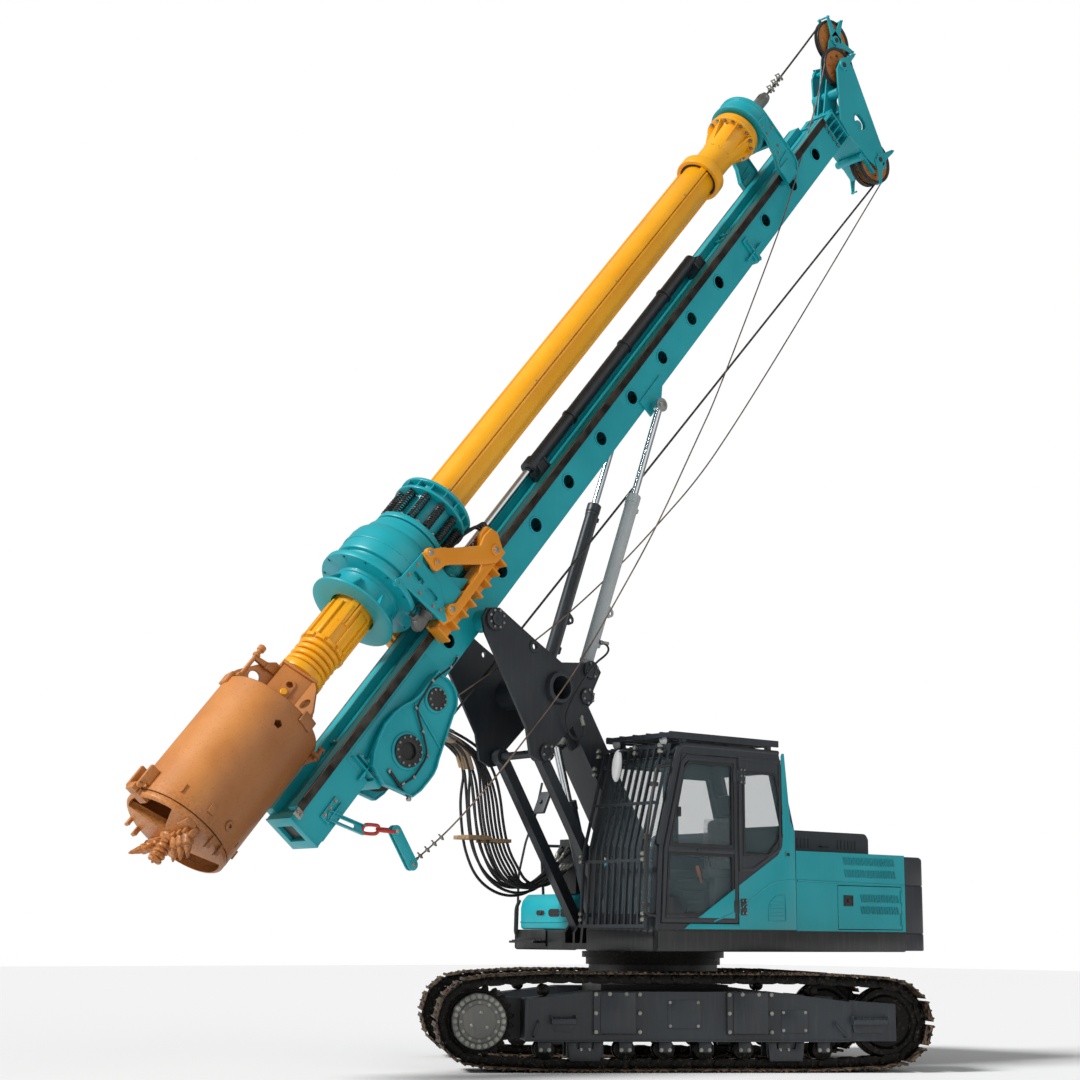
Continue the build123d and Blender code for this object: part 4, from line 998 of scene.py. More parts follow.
# %% Window beads, door frame, hinges and rails
DOOR = [(0.15, 1.405), (1.172, 1.405), (1.135, 2.098), (0.9, 2.94), (0.83, 3.005), (0.15, 3.005)]
UPPER_PANE = [(0.205, 2.13), (1.065, 2.13), (0.872, 2.865), (0.8, 2.945), (0.205, 2.945)]
LOWER_PANE = [(0.205, 1.47), (1.11, 1.47), (1.075, 2.06), (0.205, 2.06)]
REAR_PANE = [(0.06, 2.06), (0.06, 2.89), (-0.4, 2.89), (-0.56, 2.33), (-0.3, 2.06)]


def outset(outline, reach):
    """Outline grown by about that much about its middle."""
    cx, cz = (sum(p[i] for p in outline) / len(outline) for i in (0, 1))
    return [(x + math.copysign(reach, x - cx), z + math.copysign(reach, z - cz)) for x, z in outline]


beads = [rim_plate(outset(pane, 0.004), 0.026, (SIDE - 0.006, SIDE + 0.006)) for pane in (UPPER_PANE, LOWER_PANE)]
settle(joined(beads), "door_beads", rubber, "cab_door")
bead = rim_plate(outset(REAR_PANE, 0.004), 0.026, (SIDE - 0.006, SIDE + 0.006))
far = [flipped(rim_plate(outset(pane, 0.004), 0.026, (-0.416, -0.404)))
    for pane in (UPPER_PANE, LOWER_PANE, REAR_PANE)]
settle(joined(bead, far), "window_beads", rubber, "upper")
frame_ring = rim_plate(DOOR, 0.044, (SIDE - 0.002, SIDE + 0.009), 0.004)
leaves = [crate((0.168, 0.205), (SIDE + 0.006, SIDE + 0.014), (z, z + 0.12), 0.003) for z in (1.5, 2.78)]
latch = [crate((0.18, 1.08), (SIDE - 0.002, SIDE + 0.006), (2.068, 2.12), 0.004),
    crate((0.56, 0.7), (SIDE + 0.004, SIDE + 0.015), (2.08, 2.108), 0.006)]
boot = cut_plate([(1.085, 1.64), (0.95, 1.64), (0.84, 1.43), (1.12, 1.43)], (SIDE, SIDE + 0.005), 0.003)
settle(joined(frame_ring, *leaves, *latch, boot), "door_frame", charcoal, "cab_door")
pull = joined(crate((0.915, 0.955), (SIDE + 0.006, SIDE + 0.016), (2.405, 2.5), 0.006),
    bar((0.935, SIDE + 0.012, 2.44), (0.935, SIDE + 0.022, 2.44), 0.014, 16))
settle(pull, "door_latch", rubber, "cab_door")
leaves = [crate((0.03, 0.118), (SIDE - 0.002, SIDE + 0.012), (z - 0.02, z + 0.14), 0.004) for z in (1.5, 2.78)]
side_frame = rim_plate([(0.125, 1.9), (0.125, 3.03), (-0.478, 3.03), (-0.47, 2.13), (-0.08, 1.915)], 0.03,
    (SIDE - 0.002, SIDE + 0.008), 0.004)
roof_edge = tube_run([(1.205, SIDE - 0.02, 2.13), (0.925, SIDE - 0.02, 3.1), (-0.46, SIDE - 0.02, 3.1)], 0.026, 16,
    bend=0.1)
settle(joined(*leaves, side_frame, roof_edge), "cab_trim", charcoal, "upper")
fasten("upper", copies(bolt(0.018, washer=False),
    [(x, SIDE + 0.012, z + dz) for x in (0.052, 0.096) for z in (1.5, 2.78) for dz in (0, 0.06, 0.12)]))
ring = rim_plate([(-0.522, 2.06), (-0.522, 2.116), (-0.594, 2.116), (-0.594, 2.06)], 0.012, (1.396, 1.406), 0.004)
settle(ring, "lock_ring", teal, "upper")
settle(crate((-0.584, -0.532), (1.394, 1.399), (2.068, 2.108), 0.002), "lock_cup", skirt_black, "upper")
rail = tube_run([(1.05, 1.385, 2.89), (1.228, 1.395, 2.872), (1.374, 1.395, 2.148), (1.376, 1.395, 1.468),
    (1.236, 1.385, 1.463)], 0.017, 16)
grips = [joined(crate((x - 0.07, x + 0.022), (1.352, 1.384), (z - 0.02, z + 0.02), 0.004),
    bar((x, 1.384, z - 0.024), (x, 1.384, z + 0.024), 0.026, 16))
    for x, z in ((1.262, 2.7), (1.36, 2.2), (1.376, 1.56))]
settle(joined(rail, *grips), "cab_grab_rail", skirt_black, "upper")
cuffs = []
for x, y, z in ((1.15, 0.45, 3.02), (1.15, 0.99, 3.02), (1.15, 1.345, 3.02), (1.205, 0.45, 2.84), (1.375, 0.45, 1.98),
        (1.375, 1.345, 1.98), (1.378, 0.45, 1.42), (1.378, 1.345, 1.42)):
    cuffs += copies(lathe([(0.016, -0.004), (0.016, 0.016), (0.022, 0.018), (0.022, 0.034), (0.012, 0.044)], 14, 0),
        [Matrix.Translation((x - 0.03, y, z + dz)) @ spin(80, "Y") for dz in (0, 0.056)])
settle(joined(cuffs), "guard_bolts", zinc, "upper")
print("cab trimmed")

# %% Mirrors and lights
oval_cup = lathe([(0.078, 0), (0.09, 0.006), (0.092, 0.018), (0.08, 0.04), (0.045, 0.052)], 36, 0.002)
oval_cup.data.transform(Matrix.Diagonal((0.62, 1.75, 1.0, 1.0)))
settle(turned_to(oval_cup, (1.215, 0.83, 2.905), (1, 0, 0.12)), "oval_mirror", polished_white, "upper")
glass_face = lathe([(0.074, -0.003), (0.074, 0.002)], 36, 0.001)
glass_face.data.transform(Matrix.Diagonal((0.62, 1.75, 1.0, 1.0)))
settle(turned_to(glass_face, (1.214, 0.83, 2.905), (1, 0, 0.12)), "oval_mirror_glass", chrome, "upper")
arms = [tube_run([(1.13, 0.92, 3.03), (1.205, 0.9, 3.06), (1.225, 0.84, 3.04), (1.24, 0.83, 2.92)], 0.009, 10),
    tube_run([(0.669, -1.33, 1.248), (0.728, -1.33, 1.31), (0.716, -1.33, 1.67), (0.712, -1.33, 1.905),
    (0.616, -1.33, 2.263), (0.492, -1.33, 2.524), (0.394, -1.33, 2.899)], 0.013, 12),
    tube_run([(0.716, -1.3, 1.64), (0.728, -1.345, 1.56), (0.735, -1.345, 1.3), (0.69, -1.345, 1.24),
    (0.6, -1.345, 1.236)], 0.02, 12),
    tube_run([(0.392, -1.3, 1.69), (0.4, -1.33, 2.224), (-0.58, -1.33, 2.236), (-0.59, -1.33, 2.075)], 0.016, 12),
    tube_run([(-0.1, -1.33, 2.075), (-0.1, -1.33, 2.23)], 0.014, 12),
    tube_run([(0.392, -1.33, 1.96), (0.05, -1.33, 1.966), (0.03, -1.3, 1.69)], 0.014, 12)]
settle(joined(arms), "mirror_rails", skirt_black, "upper")
plate = crate((-0.022, 0.018), (-0.09, 0.09), (-0.128, 0.128), 0.014)
knob = bar((0.016, 0, 0), (0.044, 0, 0), 0.024, 16)
square = joined(plate, knob)
square.data.transform(Matrix.Translation((0.455, -1.25, 2.68)) @ spin(-24, "Y"))
settle(square, "square_mirror", abs_grey, "upper")
settle(turned_to(lathe([(0.078, 0), (0.078, 0.003)], 4, 0), (0.434, -1.25, 2.671), (-1, 0, -0.42)),
    "square_mirror_glass", chrome, "upper")
body = lathe([(0.03, -0.05), (0.052, -0.04), (0.062, 0), (0.062, 0.01), (0.052, 0.012)], 24, 0.002)
lens = lathe([(0.053, 0.008), (0.053, 0.013), (0.03, 0.017)], 24, 0)
spots = [Matrix.Translation((x, y, z)) @ spin(100, "Y") for x, y, z in ((0.985, 0.56, 3.15), (0.985, 1.24, 3.15))]
settle(joined(copies(body, spots)), "cab_lights", skirt_black, "upper")
settle(joined(copies(lens, spots)), "cab_light_lenses", silver, "upper")
print("mirrors and lights on")

# %% Seat and controls
pads = [("seat_cushion", crate((-0.17, 0.33), (0.65, 1.12), (1.715, 1.83), 0.045)),
    ("seat_back", crate((-0.255, -0.125), (0.665, 1.105), (1.8, 2.44), 0.05)),
    ("seat_headrest", crate((-0.23, -0.135), (0.775, 1.005), (2.47, 2.68), 0.04))]
for name, pad in pads:
    settle(pad, name, vinyl, "upper")
stem = [crate((-0.08, 0.25), (0.75, 1.03), (1.386, 1.42), 0.01),
    crate((-0.1, 0.27), (0.73, 1.05), (1.66, 1.715), 0.01)]
for i in range(6):
    fold = 0.006 * (i % 2)
    stem.append(crate((-0.07 + fold, 0.24 - fold), (0.76 + fold, 1.02 - fold), (1.42 + 0.04 * i, 1.462 + 0.04 * i),
        0.008))
stem += [bar((-0.19, y, 2.4), (-0.18, y, 2.49), 0.008, 10) for y in (0.83, 0.95)]
for y0, y1 in ((1.165, 1.28), (0.5, 0.615)):
    stem += [crate((-0.06, 0.42), (y0, y1), (1.84, 1.935), 0.02),
        crate((0.02, 0.34), (y0 + 0.012, y1 - 0.012), (1.386, 1.85), 0.016)]
stem += [crate((0.88, 0.96), (0.59, 0.69), (1.386, 1.9), 0.014),
    crate((0.9, 0.945), (0.53, 0.76), (1.9, 2.045), 0.012)]
settle(joined(stem), "seat_base_consoles", abs_grey, "upper", stands_for=["cab_interior"])
sticks = []
for y in (1.222, 0.558):
    sticks += [bar((0.35, y, 1.93), (0.365, y, 2.03), 0.01, 12),
        lathe([(0.014, 0), (0.02, 0.03), (0.017, 0.07), (0.022, 0.1), (0.012, 0.118)], 18, 0.002)]
    sticks[-1].data.transform(Matrix.Translation((0.366, y, 2.01)))
settle(joined(sticks), "joysticks", rubber, "upper")
lever = bar((0.405, 1.15, 1.79), (0.44, 1.15, 1.88), 0.009, 12)
sleeve = turned_to(lathe([(0.015, 0), (0.018, 0.01), (0.018, 0.1), (0.01, 0.112)], 16, 0.002), (0.43, 1.15, 1.85),
    (0.35, 0, 1))
settle(joined(lever, sleeve), "safety_lever", grip_orange, "upper")
settle(crate((0.896, 0.9), (0.545, 0.745), (1.915, 2.03), 0.001), "display_face", glass_black, "upper")
bpy.ops.object.select_all(action="DESELECT")
bpy.ops.mesh.primitive_grid_add(x_subdivisions=26, y_subdivisions=40, size=1)
cover = bpy.context.object
for corner in cover.data.vertices:
    u, v = corner.co.x, corner.co.y + 0.5
    ripple = 0.006 * math.sin(34 * u + 9 * v) + 0.004 * math.sin(61 * v + 13 * u)
    corner.co = (-0.112 + ripple + 0.03 * abs(u) ** 2, 0.885 + 0.452 * u, 1.85 + 0.6 * v)
settle(eased(cover, 0), "seat_cover_sheet", polythene, "upper")
print("seat placed")

# %% [markdown]
# ## Deck furniture
# The right front box has rounded edges, a crease, a latch and two slotted vents. The bonnet
# over the engine is slotted too, and a ring of bolts holds the slewing bearing.

# %% Front box, bonnet and bearing bolts
box = cut_plate([(0.715, 1.337), (0.715, 1.56), (0.69, 1.64), (0.63, 1.7), (-0.08, 1.7), (-0.08, 1.337)],
    (-1.3, -0.42), 0.03)
tank = crate((-0.64, -0.1), (-1.388, -0.42), (1.337, 2.08), 0.03)
cap = turned_to(lathe([(0.07, 0), (0.07, 0.02), (0.055, 0.03), (0.055, 0.06), (0.04, 0.068)], 32, 0.003),
    (-0.38, -0.9, 2.078), (0, 0, 1))
crease_bar = [bar((0.716, -1.285, 1.412), (0.716, -0.43, 1.412), 0.008, 12),
    bar((0.7, -0.421, 1.412), (-0.07, -0.421, 1.412), 0.008, 12),
    bar((0.7, -1.299, 1.412), (-0.07, -1.299, 1.412), 0.008, 12)]
# The cups are painted shade: dark ovals inside the vent rims where the openings would be dark.
rims, shade_cups = [], []
for y, half, tall in ((-0.955, 0.045, 0.036), (-0.73, 0.06, 0.05), (-0.545, 0.06, 0.05)):
    rims.append(rim_plate(oval(y, 1.505, half, tall, 6), 0.009, (-0.004, 0.006), 0.002))
    shade_cups.append(cut_plate(oval(y, 1.505, half - 0.007, tall - 0.008, 6), (-0.003, 0.003), 0))
for piece in rims + shade_cups:
    piece.data.transform(Matrix.Translation((0.714, 0, 0)) @ spin(90))
settle(joined(box, tank, cap, *crease_bar, *rims), "front_box_skin", teal, "upper", stands_for=["front_box"])
step = [crate((0.722, 0.9), (-1.25, -0.85), (1.196, 1.22), 0.004),
    crate((0.712, 0.734), (-1.25, -0.85), (1.16, 1.33), 0.004)]
step += [crate((0.735 + 0.04 * i, 0.75 + 0.04 * i), (-1.24, -0.86), (1.218, 1.23), 0.002) for i in range(4)]
settle(joined(shade_cups + step), "vent_shade_and_step", skirt_black, "upper")
slats = [bar((0.719, y - 0.085, z), (0.719, y + 0.085, z), 0.005, 8) for y in (-0.73, -0.545) for z in (1.49, 1.52)]
knob = turned_to(lathe([(0.018, 0), (0.018, 0.008), (0.01, 0.012)], 16, 0), (0.716, -0.955, 1.505), (1, 0, 0))
settle(joined(slats + [knob]), "vent_slats", skirt_black, "upper")
lid = [(-2.29, 2.136), (-2.29, 2.31), (-2.262, 2.352), (-2.23, 2.37), (-0.91, 2.37), (-0.876, 2.356), (-0.85, 2.32),
    (-0.85, 2.136)]
shell = cut_plate(lid, (-0.95, 0.95), 0.012, 14)
shell = drilled(shell, crate((-2.255, -0.885), (-0.915, 0.915), (2.0, 2.33), 0))
hand = tube_run([(-1.64, 0.948, 2.215), (-1.64, 0.975, 2.215), (-1.52, 0.975, 2.215), (-1.52, 0.948, 2.215)], 0.007,
    8, bend=0.02)
knuckles = [bar((-0.85, y, 2.136), (-0.85, y + 0.12, 2.136), 0.016, 16, 0) for y in (0.28, -0.4)]
settle(joined(shell, hand, *knuckles), "bonnet", charcoal, "engine_hood", stands_for=["engine_hood"])
# The slots are painted shade: dark strips set into the bonnet's sides, not cut through it.
slot_shades = [crate((x + 0.055 * i, x + 0.055 * i + 0.018), (side * 0.95 - 0.003, side * 0.95 + 0.003), (2.19, 2.29), 0)
    for x in (-2.08, -1.35) for i in range(6) for side in (-1, 1)]
settle(joined(slot_shades), "bonnet_slot_shades", rubber, "engine_hood")
fasten("upper", copies(bolt(0.03, (0, 0, -1), False), [around(0.66, 10 * i, 1.124) for i in range(36)]))
print("deck furnished")

# %% [markdown]
# ## The gearbox
# The drive is turned on the kelly's axis: a flange to bolt tools under, the gear case, a
# necked sleeve and a double top flange. It is drawn as one turned profile, drilled, and
# then given its gussets, bolt rings and the twelve springs that cushion the kelly's fall.

# %% Gear case
ON_KELLY = MAST @ Matrix.Translation((KELLY_OUT, 0, 0))
PROFILE = [(0.238, -0.92), (0.445, -0.92), (0.445, -0.895), (0.33, -0.893), (0.325, -0.7), (0.345, -0.69),
    (0.345, -0.66), (0.515, -0.66), (0.515, -0.6), (0.44, -0.598), (0.432, -0.56), (0.432, -0.512), (0.47, -0.505),
    (0.475, -0.48), (0.475, -0.25), (0.462, -0.19), (0.425, -0.13), (0.405, -0.118), (0.405, -0.06), (0.385, -0.05),
    (0.38, 0.02), (0.345, 0.03), (0.33, 0.048), (0.29, 0.05), (0.29, 0.44), (0.395, 0.44), (0.395, 0.47),
    (0.33, 0.475), (0.33, 0.545), (0.395, 0.55), (0.395, 0.58), (0.238, 0.58)]
TURNS = [Matrix.Rotation(math.tau * (i + 0.5) / 12, 4, "Z") for i in range(12)]
case = lathe(PROFILE, 72, 0.004, hollow=True)
case = drilled(case, copies(bar((0.48, 0, -0.7), (0.48, 0, -0.56), 0.016, 16, 0), TURNS))
low_gusset = cut_plate([(0.322, -0.896), (0.438, -0.896), (0.346, -0.74), (0.322, -0.74)], (-0.008, 0.008), 0.002)
top_gusset = cut_plate([(0.325, 0.468), (0.39, 0.468), (0.39, 0.552), (0.325, 0.552)], (-0.006, 0.006), 0.002)
ring = flat_ring(0.286, 0.376, 0.044, 0.1, 64, 0.004)
lip = flat_ring(0.47, 0.482, -0.372, -0.345, 64, 0.003)
gussets = copies(low_gusset, about_z(8)) + copies(top_gusset, about_z(16))
settle(joined(case, ring, lip, *gussets), "gear_case", teal, "rotary_drive", ON_KELLY, ["drive_housing"])
springs = copies(helix(0.036, 0.01, 0.1, 0.44, 11), [turn @ Matrix.Translation((0.338, 0, 0)) for turn in TURNS])
settle(joined(springs), "cushion_springs", skirt_black, "rotary_drive", ON_KELLY)
for size, radius, height, count in ((0.036, 0.35, 0.1, 12), (0.026, 0.36, 0.58, 24)):
    spots = [turn @ Matrix.Translation((radius, 0, height)) for turn in about_z(count)]
    fasten("rotary_drive", copies(bolt(size, (0, 0, 1)), spots), ON_KELLY)
print("gear case turned")

# %% [markdown]
# ## Brackets that carry the gearbox
# Orange arms reach from the sledge on the guide rails to pins on the teal side plates.
# The arms are thick plates with bosses round their pins; the sledge is ribbed like a
# channel, and hooks round each rail with its four shoes.

# %% Arms, sledge and side plates
TOP_ARM = [(1.068, -0.221), (1.032, -0.135), (0.927, 0.008), (0.9, 0.026), (0.648, 0.335), (0.679, 0.447),
    (0.666, 0.566), (0.56, 0.578), (0.47, 0.513), (0.391, 0.51), (0.399, 0.354), (0.485, 0.242), (0.793, -0.097),
    (0.811, -0.131), (0.838, -0.24), (0.877, -0.258)]
LOW_ARM = [(0.56, 0.4), (0.52, 0.49), (0.42, 0.52), (0.385, 0.45), (0.385, 0.2), (0.375, -0.3), (0.385, -0.42),
    (0.43, -0.55), (0.5, -0.54), (0.55, -0.47), (0.53, -0.38), (0.47, -0.27), (0.47, 0.15)]
PINS = ((1.011, -0.166, 0.052), (0.901, -0.175, 0.036), (0.492, 0.438, 0.058), (0.48, -0.386, 0.055))
side = [cut_plate(TOP_ARM, (0.507, 0.541), 0.008), cut_plate(LOW_ARM, (0.473, 0.503), 0.008)]
side += [turned_to(lathe([(r, 0), (r, 0.05), (r * 0.8, 0.056)], 28), (n, 0.5, s), (0, 1, 0)) for n, s, r in PINS]
side += [cut_plate([(0.4, 0.3), (0.4, 0.56), (0.56, 0.64), (0.69, 0.59), (0.69, 0.48), (0.56, 0.3)], (0.4, 0.472),
    0.012)]
for low, high in ((-0.595, -0.09), (0.01, 0.48)):
    side.append(crate((0.262, 0.466), (0.338, 0.362), (low, high), 0.006))
    side.append(crate((0.446, 0.468), (0.34, 0.47), (low, high), 0.005))
    side += [crate((0.262, 0.468), (0.34, 0.47), (s, s + 0.022), 0.004)
        for s in (low, low + (high - low) / 3, low + (high - low) * 2 / 3, high - 0.022)]
    side.append(crate((0.258, 0.47), (0.276, 0.345), (low + 0.02, high - 0.02), 0.006))
for low, high in ((-0.49, -0.29), (0.25, 0.45)):
    side.append(crate((0.25, 0.47), (0.277, 0.336), (low, high), 0.008))
    side.append(crate((0.252, 0.313), (0.216, 0.33), (low, high), 0.008))
sledge = [both(side), crate((0.412, 0.455), (-0.336, 0.336), (0.3, 0.56), 0.01)]
sledge += [crate((0.44, 0.5), (y - 0.01, y + 0.01), (0.32, 0.545), 0.004) for y in (-0.25, -0.11, 0.11, 0.25)]
sledge.append(crate((0.44, 0.545), (-0.06, 0.06), (0.47, 0.556), 0.012))
settle(joined(sledge), "drive_sledge", orange, "rotary_drive", MAST, ["drive_carriage"])
pins = [turned_to(lathe([(r * 0.55, 0), (r * 0.55, 0.064), (r * 0.45, 0.069)], 20), (n, 0.495, s), (0, 1, 0))
    for n, s, r in PINS]
settle(both(pins), "drive_pins", zinc, "rotary_drive", MAST)
SIDE_PLATE = [(1.058, -0.188), (1.074, -0.545), (1.114, -0.658), (1.071, -0.682), (0.942, -0.588), (0.451, -0.535),
    (0.43, -0.486), (0.592, -0.374), (0.711, -0.274), (1.001, -0.27)]
cheek = cut_plate(SIDE_PLATE, (0.478, 0.505), 0.006)
cheek = drilled(cheek, *[cut_plate(oval(n, s, 0.048, 0.026), (0.47, 0.515), 0)
    for n, s in ((0.938, -0.421), (0.722, -0.426))])
cheek = joined(cheek, rim_plate(oval(0.938, -0.421, 0.056, 0.034), 0.008, (0.503, 0.511)),
    rim_plate(oval(0.722, -0.426, 0.056, 0.034), 0.008, (0.503, 0.511)),
    turned_to(flat_ring(0.018, 0.034, 0, 0.02, 24, 0.003), (1.075, 0.5, -0.63), (0, 1, 0)))
web = drilled(crate((0.476, 0.9), (-0.48, 0.48), (-0.5, -0.13), 0.014),
    bar((KELLY_OUT, 0, -0.6), (KELLY_OUT, 0, 0), 0.4765, 72, 0))
ribs = [cut_plate([(0.48, -0.135), (0.7, -0.135), (0.48, 0.06)], (y - 0.009, y + 0.009), 0.003)
    for y in (-0.42, -0.12, 0.12, 0.42)]
settle(joined(mirrored(cheek), web, *ribs), "gearbox_bracket", teal, "rotary_drive", MAST, ["drive_frame"])
spots = [(n, 0.505, s) for n, s in ((0.56, -0.47), (0.64, -0.5), (0.83, -0.52), (1.02, -0.33), (1.03, -0.48))]
fasten("rotary_drive", [both(copies(bolt(0.026), spots))], MAST)
print("arms pinned")

# %% [markdown]
# ## Motors, valve block and their hoses
# Two hydraulic motors stand on the gearbox behind the kelly and a third hangs below. Each
# has a flange, a ribbed case and a port block, with hoses to the red valve block above.

# %% Hydraulics on the drive
MOTOR = [(0.09, -0.132), (0.09, -0.075), (0.07, -0.068), (0.07, -0.02), (0.082, -0.012), (0.082, 0.02),
    (0.074, 0.028), (0.074, 0.06), (0.084, 0.068), (0.084, 0.155), (0.058, 0.17), (0.058, 0.24), (0.046, 0.256)]
MOTOR_YS = (-0.25, 0.25)
motors = [turned_to(lathe(MOTOR, 32), (0.6, y, 0), (0, 0, 1)) for y in MOTOR_YS]
motors += [crate((0.645, 0.7), (y - 0.045, y + 0.045), (0.075, 0.15), 0.008) for y in MOTOR_YS]
settle(joined(motors), "swing_motors", teal, "rotary_drive", MAST, ["drive_motors"])
low = turned_to(lathe([(0.072, -0.502), (0.072, -0.56), (0.058, -0.566), (0.058, -0.62), (0.066, -0.628),
    (0.066, -0.72), (0.05, -0.742), (0.03, -0.758)], 32), (0.6, 0.4, 0), (0, 0, 1))
settle(joined(low, crate((0.64, 0.69), (0.365, 0.435), (-0.71, -0.64), 0.008)), "low_motor", cast_grey,
    "rotary_drive", MAST)
block = [crate((0.47, 0.56), (0.12, 0.26), (0.566, 0.67), 0.006),
    crate((0.556, 0.575), (0.14, 0.18), (0.59, 0.64), 0.004), crate((0.556, 0.575), (0.2, 0.24), (0.59, 0.64), 0.004)]
settle(joined(block), "valve_block", red, "rotary_drive", MAST)
LINE_YS = (0.145, 0.175, 0.205, 0.235)
lines = []
for number, y in enumerate(LINE_YS):
    x = 0.53 + 0.012 * (number % 2)
    foot = 0.25 if number > 1 else -0.25
    port = foot + (0.018 if number % 2 else -0.018)
    lines.append(tube_run([(0.7, port, 0.112), (0.76, port, 0.12), (0.745, (port + y) / 2, 0.42),
        (0.64, y, 0.7 + 0.02 * number), (x, y, 0.73), (x, y, 0.668)], 0.0125, 10, bend=0.09))
lines.append(tube_run([(0.69, 0.4, -0.675), (0.74, 0.405, -0.68), (0.745, 0.44, -0.56), (0.66, 0.455, -0.56)], 0.011,
    10, bend=0.05))
settle(joined(lines), "drive_hoses", rubber, "rotary_drive", MAST)
ferrule = lathe([(0.011, -0.008), (0.019, -0.006), (0.019, 0.014), (0.016, 0.02), (0.016, 0.046), (0.0125, 0.05)], 12,
    0)
fittings = [turned_to(piece, (0.53 + 0.012 * (i % 2), y, 0.668), (0, 0, 1))
    for i, (y, piece) in enumerate(zip(LINE_YS, copies(ferrule, [(0, 0, 0)] * 4, True)))]
fittings += [turned_to(piece, (0.698, y, 0.112), (1, 0, 0.1))
    for y, piece in zip((-0.268, -0.232, 0.232, 0.268), copies(ferrule, [(0, 0, 0)] * 4))]
settle(joined(fittings), "drive_ferrules", zinc, "rotary_drive", MAST)
spots = [(0.6 + 0.074 * math.cos(a), y + 0.074 * math.sin(a), -0.072) for y in MOTOR_YS
    for a in (0.8, 2.36, 3.93, 5.5)]
fasten("rotary_drive", copies(bolt(0.02, (0, 0, 1), False), spots), MAST)
print("motors plumbed")

# %% [markdown]
# ## The kelly bar
# The outer tube carries three long drive ribs. Damper rings sit at its foot under a
# ribbed sleeve, and at its head a bearing cup, a waisted neck with webs and a bolted
# flange hold it in the sliding guide, where a plain steel swivel takes the hoist rope.

# %% Kelly bar and swivel
TUBE = [(0.19, -1.45), (0.19, 6.24)]
CUP = [(0.188, 6.262), (0.222, 6.262), (0.222, 6.2), (0.262, 6.2), (0.268, 6.206), (0.268, 6.322), (0.256, 6.34),
    (0.2, 6.352), (0.186, 6.44), (0.18, 6.54), (0.186, 6.64), (0.204, 6.83), (0.222, 6.98), (0.232, 7.028),
    (0.3, 7.03), (0.3, 7.085), (0.188, 7.085)]
dampers = [lathe([(0.172, low), (0.2, low + 0.001), (0.213, low + 0.01), (0.217, low + 0.028), (0.213, low + 0.044),
    (0.2, low + 0.053), (0.172, low + 0.054)], 48, 0, hollow=True) for low in (-1.718, -1.648, -1.578, -1.508)]
parts = dampers + [lathe(TUBE, 48, 0.004), lathe(CUP, 64, 0.003, hollow=True),
    lathe([(0.174, -1.81), (0.174, -1.43)], 40, 0),
    lathe([(0.2, 7.085), (0.29, 7.088), (0.29, 7.15), (0.205, 7.158), (0.205, 7.41)], 64, 0.003),
    lathe([(0.186, -1.806), (0.222, -1.806), (0.222, -1.736), (0.214, -1.728), (0.186, -1.728)], 48, 0.003),
    lathe([(0.19, -1.442), (0.212, -1.442), (0.208, -1.398), (0.208, -0.975), (0.196, -0.95)], 48, 0.003)]
parts += copies(crate((0.18, 0.222), (-0.035, 0.035), (-1.18, 6.22), 0.003), about_z(3, math.radians(60)))
parts += copies(crate((0.2, 0.226), (-0.012, 0.012), (-1.18, 6.18), 0.003), about_z(3, math.radians(60) + 0.28))
parts += copies(crate((0.2, 0.23), (-0.013, 0.013), (-1.396, -0.968), 0.004), about_z(12))
parts += copies(crate((0.2, 0.231), (-0.045, 0.045), (-1.441, -1.403), 0.003), about_z(12, 0.26))
parts += copies(cut_plate([(0.18, 6.52), (0.196, 6.76), (0.292, 7.024), (0.292, 7.034), (0.2, 7.034)],
    (-0.007, 0.007), 0.002), about_z(8, 0.2))
parts += copies(cut_plate([(0.184, 6.345), (0.24, 6.34), (0.19, 6.41)], (-0.006, 0.006), 0.002), about_z(8, 0.6))
settle(joined(parts), "kelly_tube", yellow, "kelly", ON_KELLY, ["kelly_bar"])
neck = lathe([(0.15, 7.405), (0.15, 7.47), (0.1, 7.52), (0.085, 7.56), (0.072, 7.6), (0.072, 7.9), (0.06, 7.948)], 40,
    0.005)
neck = drilled(neck, crate((-0.1, 0.1), (-0.022, 0.022), (7.81, 7.98), 0))
settle(joined(neck, bar((0, -0.072, 7.9), (0, 0.072, 7.9), 0.02, 20)), "kelly_swivel", zinc, "kelly", ON_KELLY)
seal = flat_ring(0.189, 0.22, 6.21, 6.255, 48, 0.002)
settle(seal, "kelly_seal", rubber, "kelly", ON_KELLY)
spots = [Matrix.Rotation(0.2 + math.tau * (i + 0.5) / 16, 4, "Z") @ Matrix.Translation((0.268, 0, 7.03))
    for i in range(16)]
fasten("kelly", copies(bolt(0.03, (0, 0, -1)), spots), ON_KELLY)
spots = [spin(60 + 120 * k) @ Matrix.Translation((0.222, 0.022, s)) for k in range(3)
    for s in (-0.9, 0.7, 2.4, 4.1, 5.7)]
fasten("kelly", copies(turned_to(lathe([(0.01, 0), (0.01, 0.004)], 12, 0), (0, 0, 0), (1, 0, 0)), spots), ON_KELLY)
print("kelly turned")

# %% [markdown]
# ## The kelly's sliding guide
# A ring round the swivel housing is carried by two channel-section arms whose shoes hook
# on the rails, like the sledge of the drive.

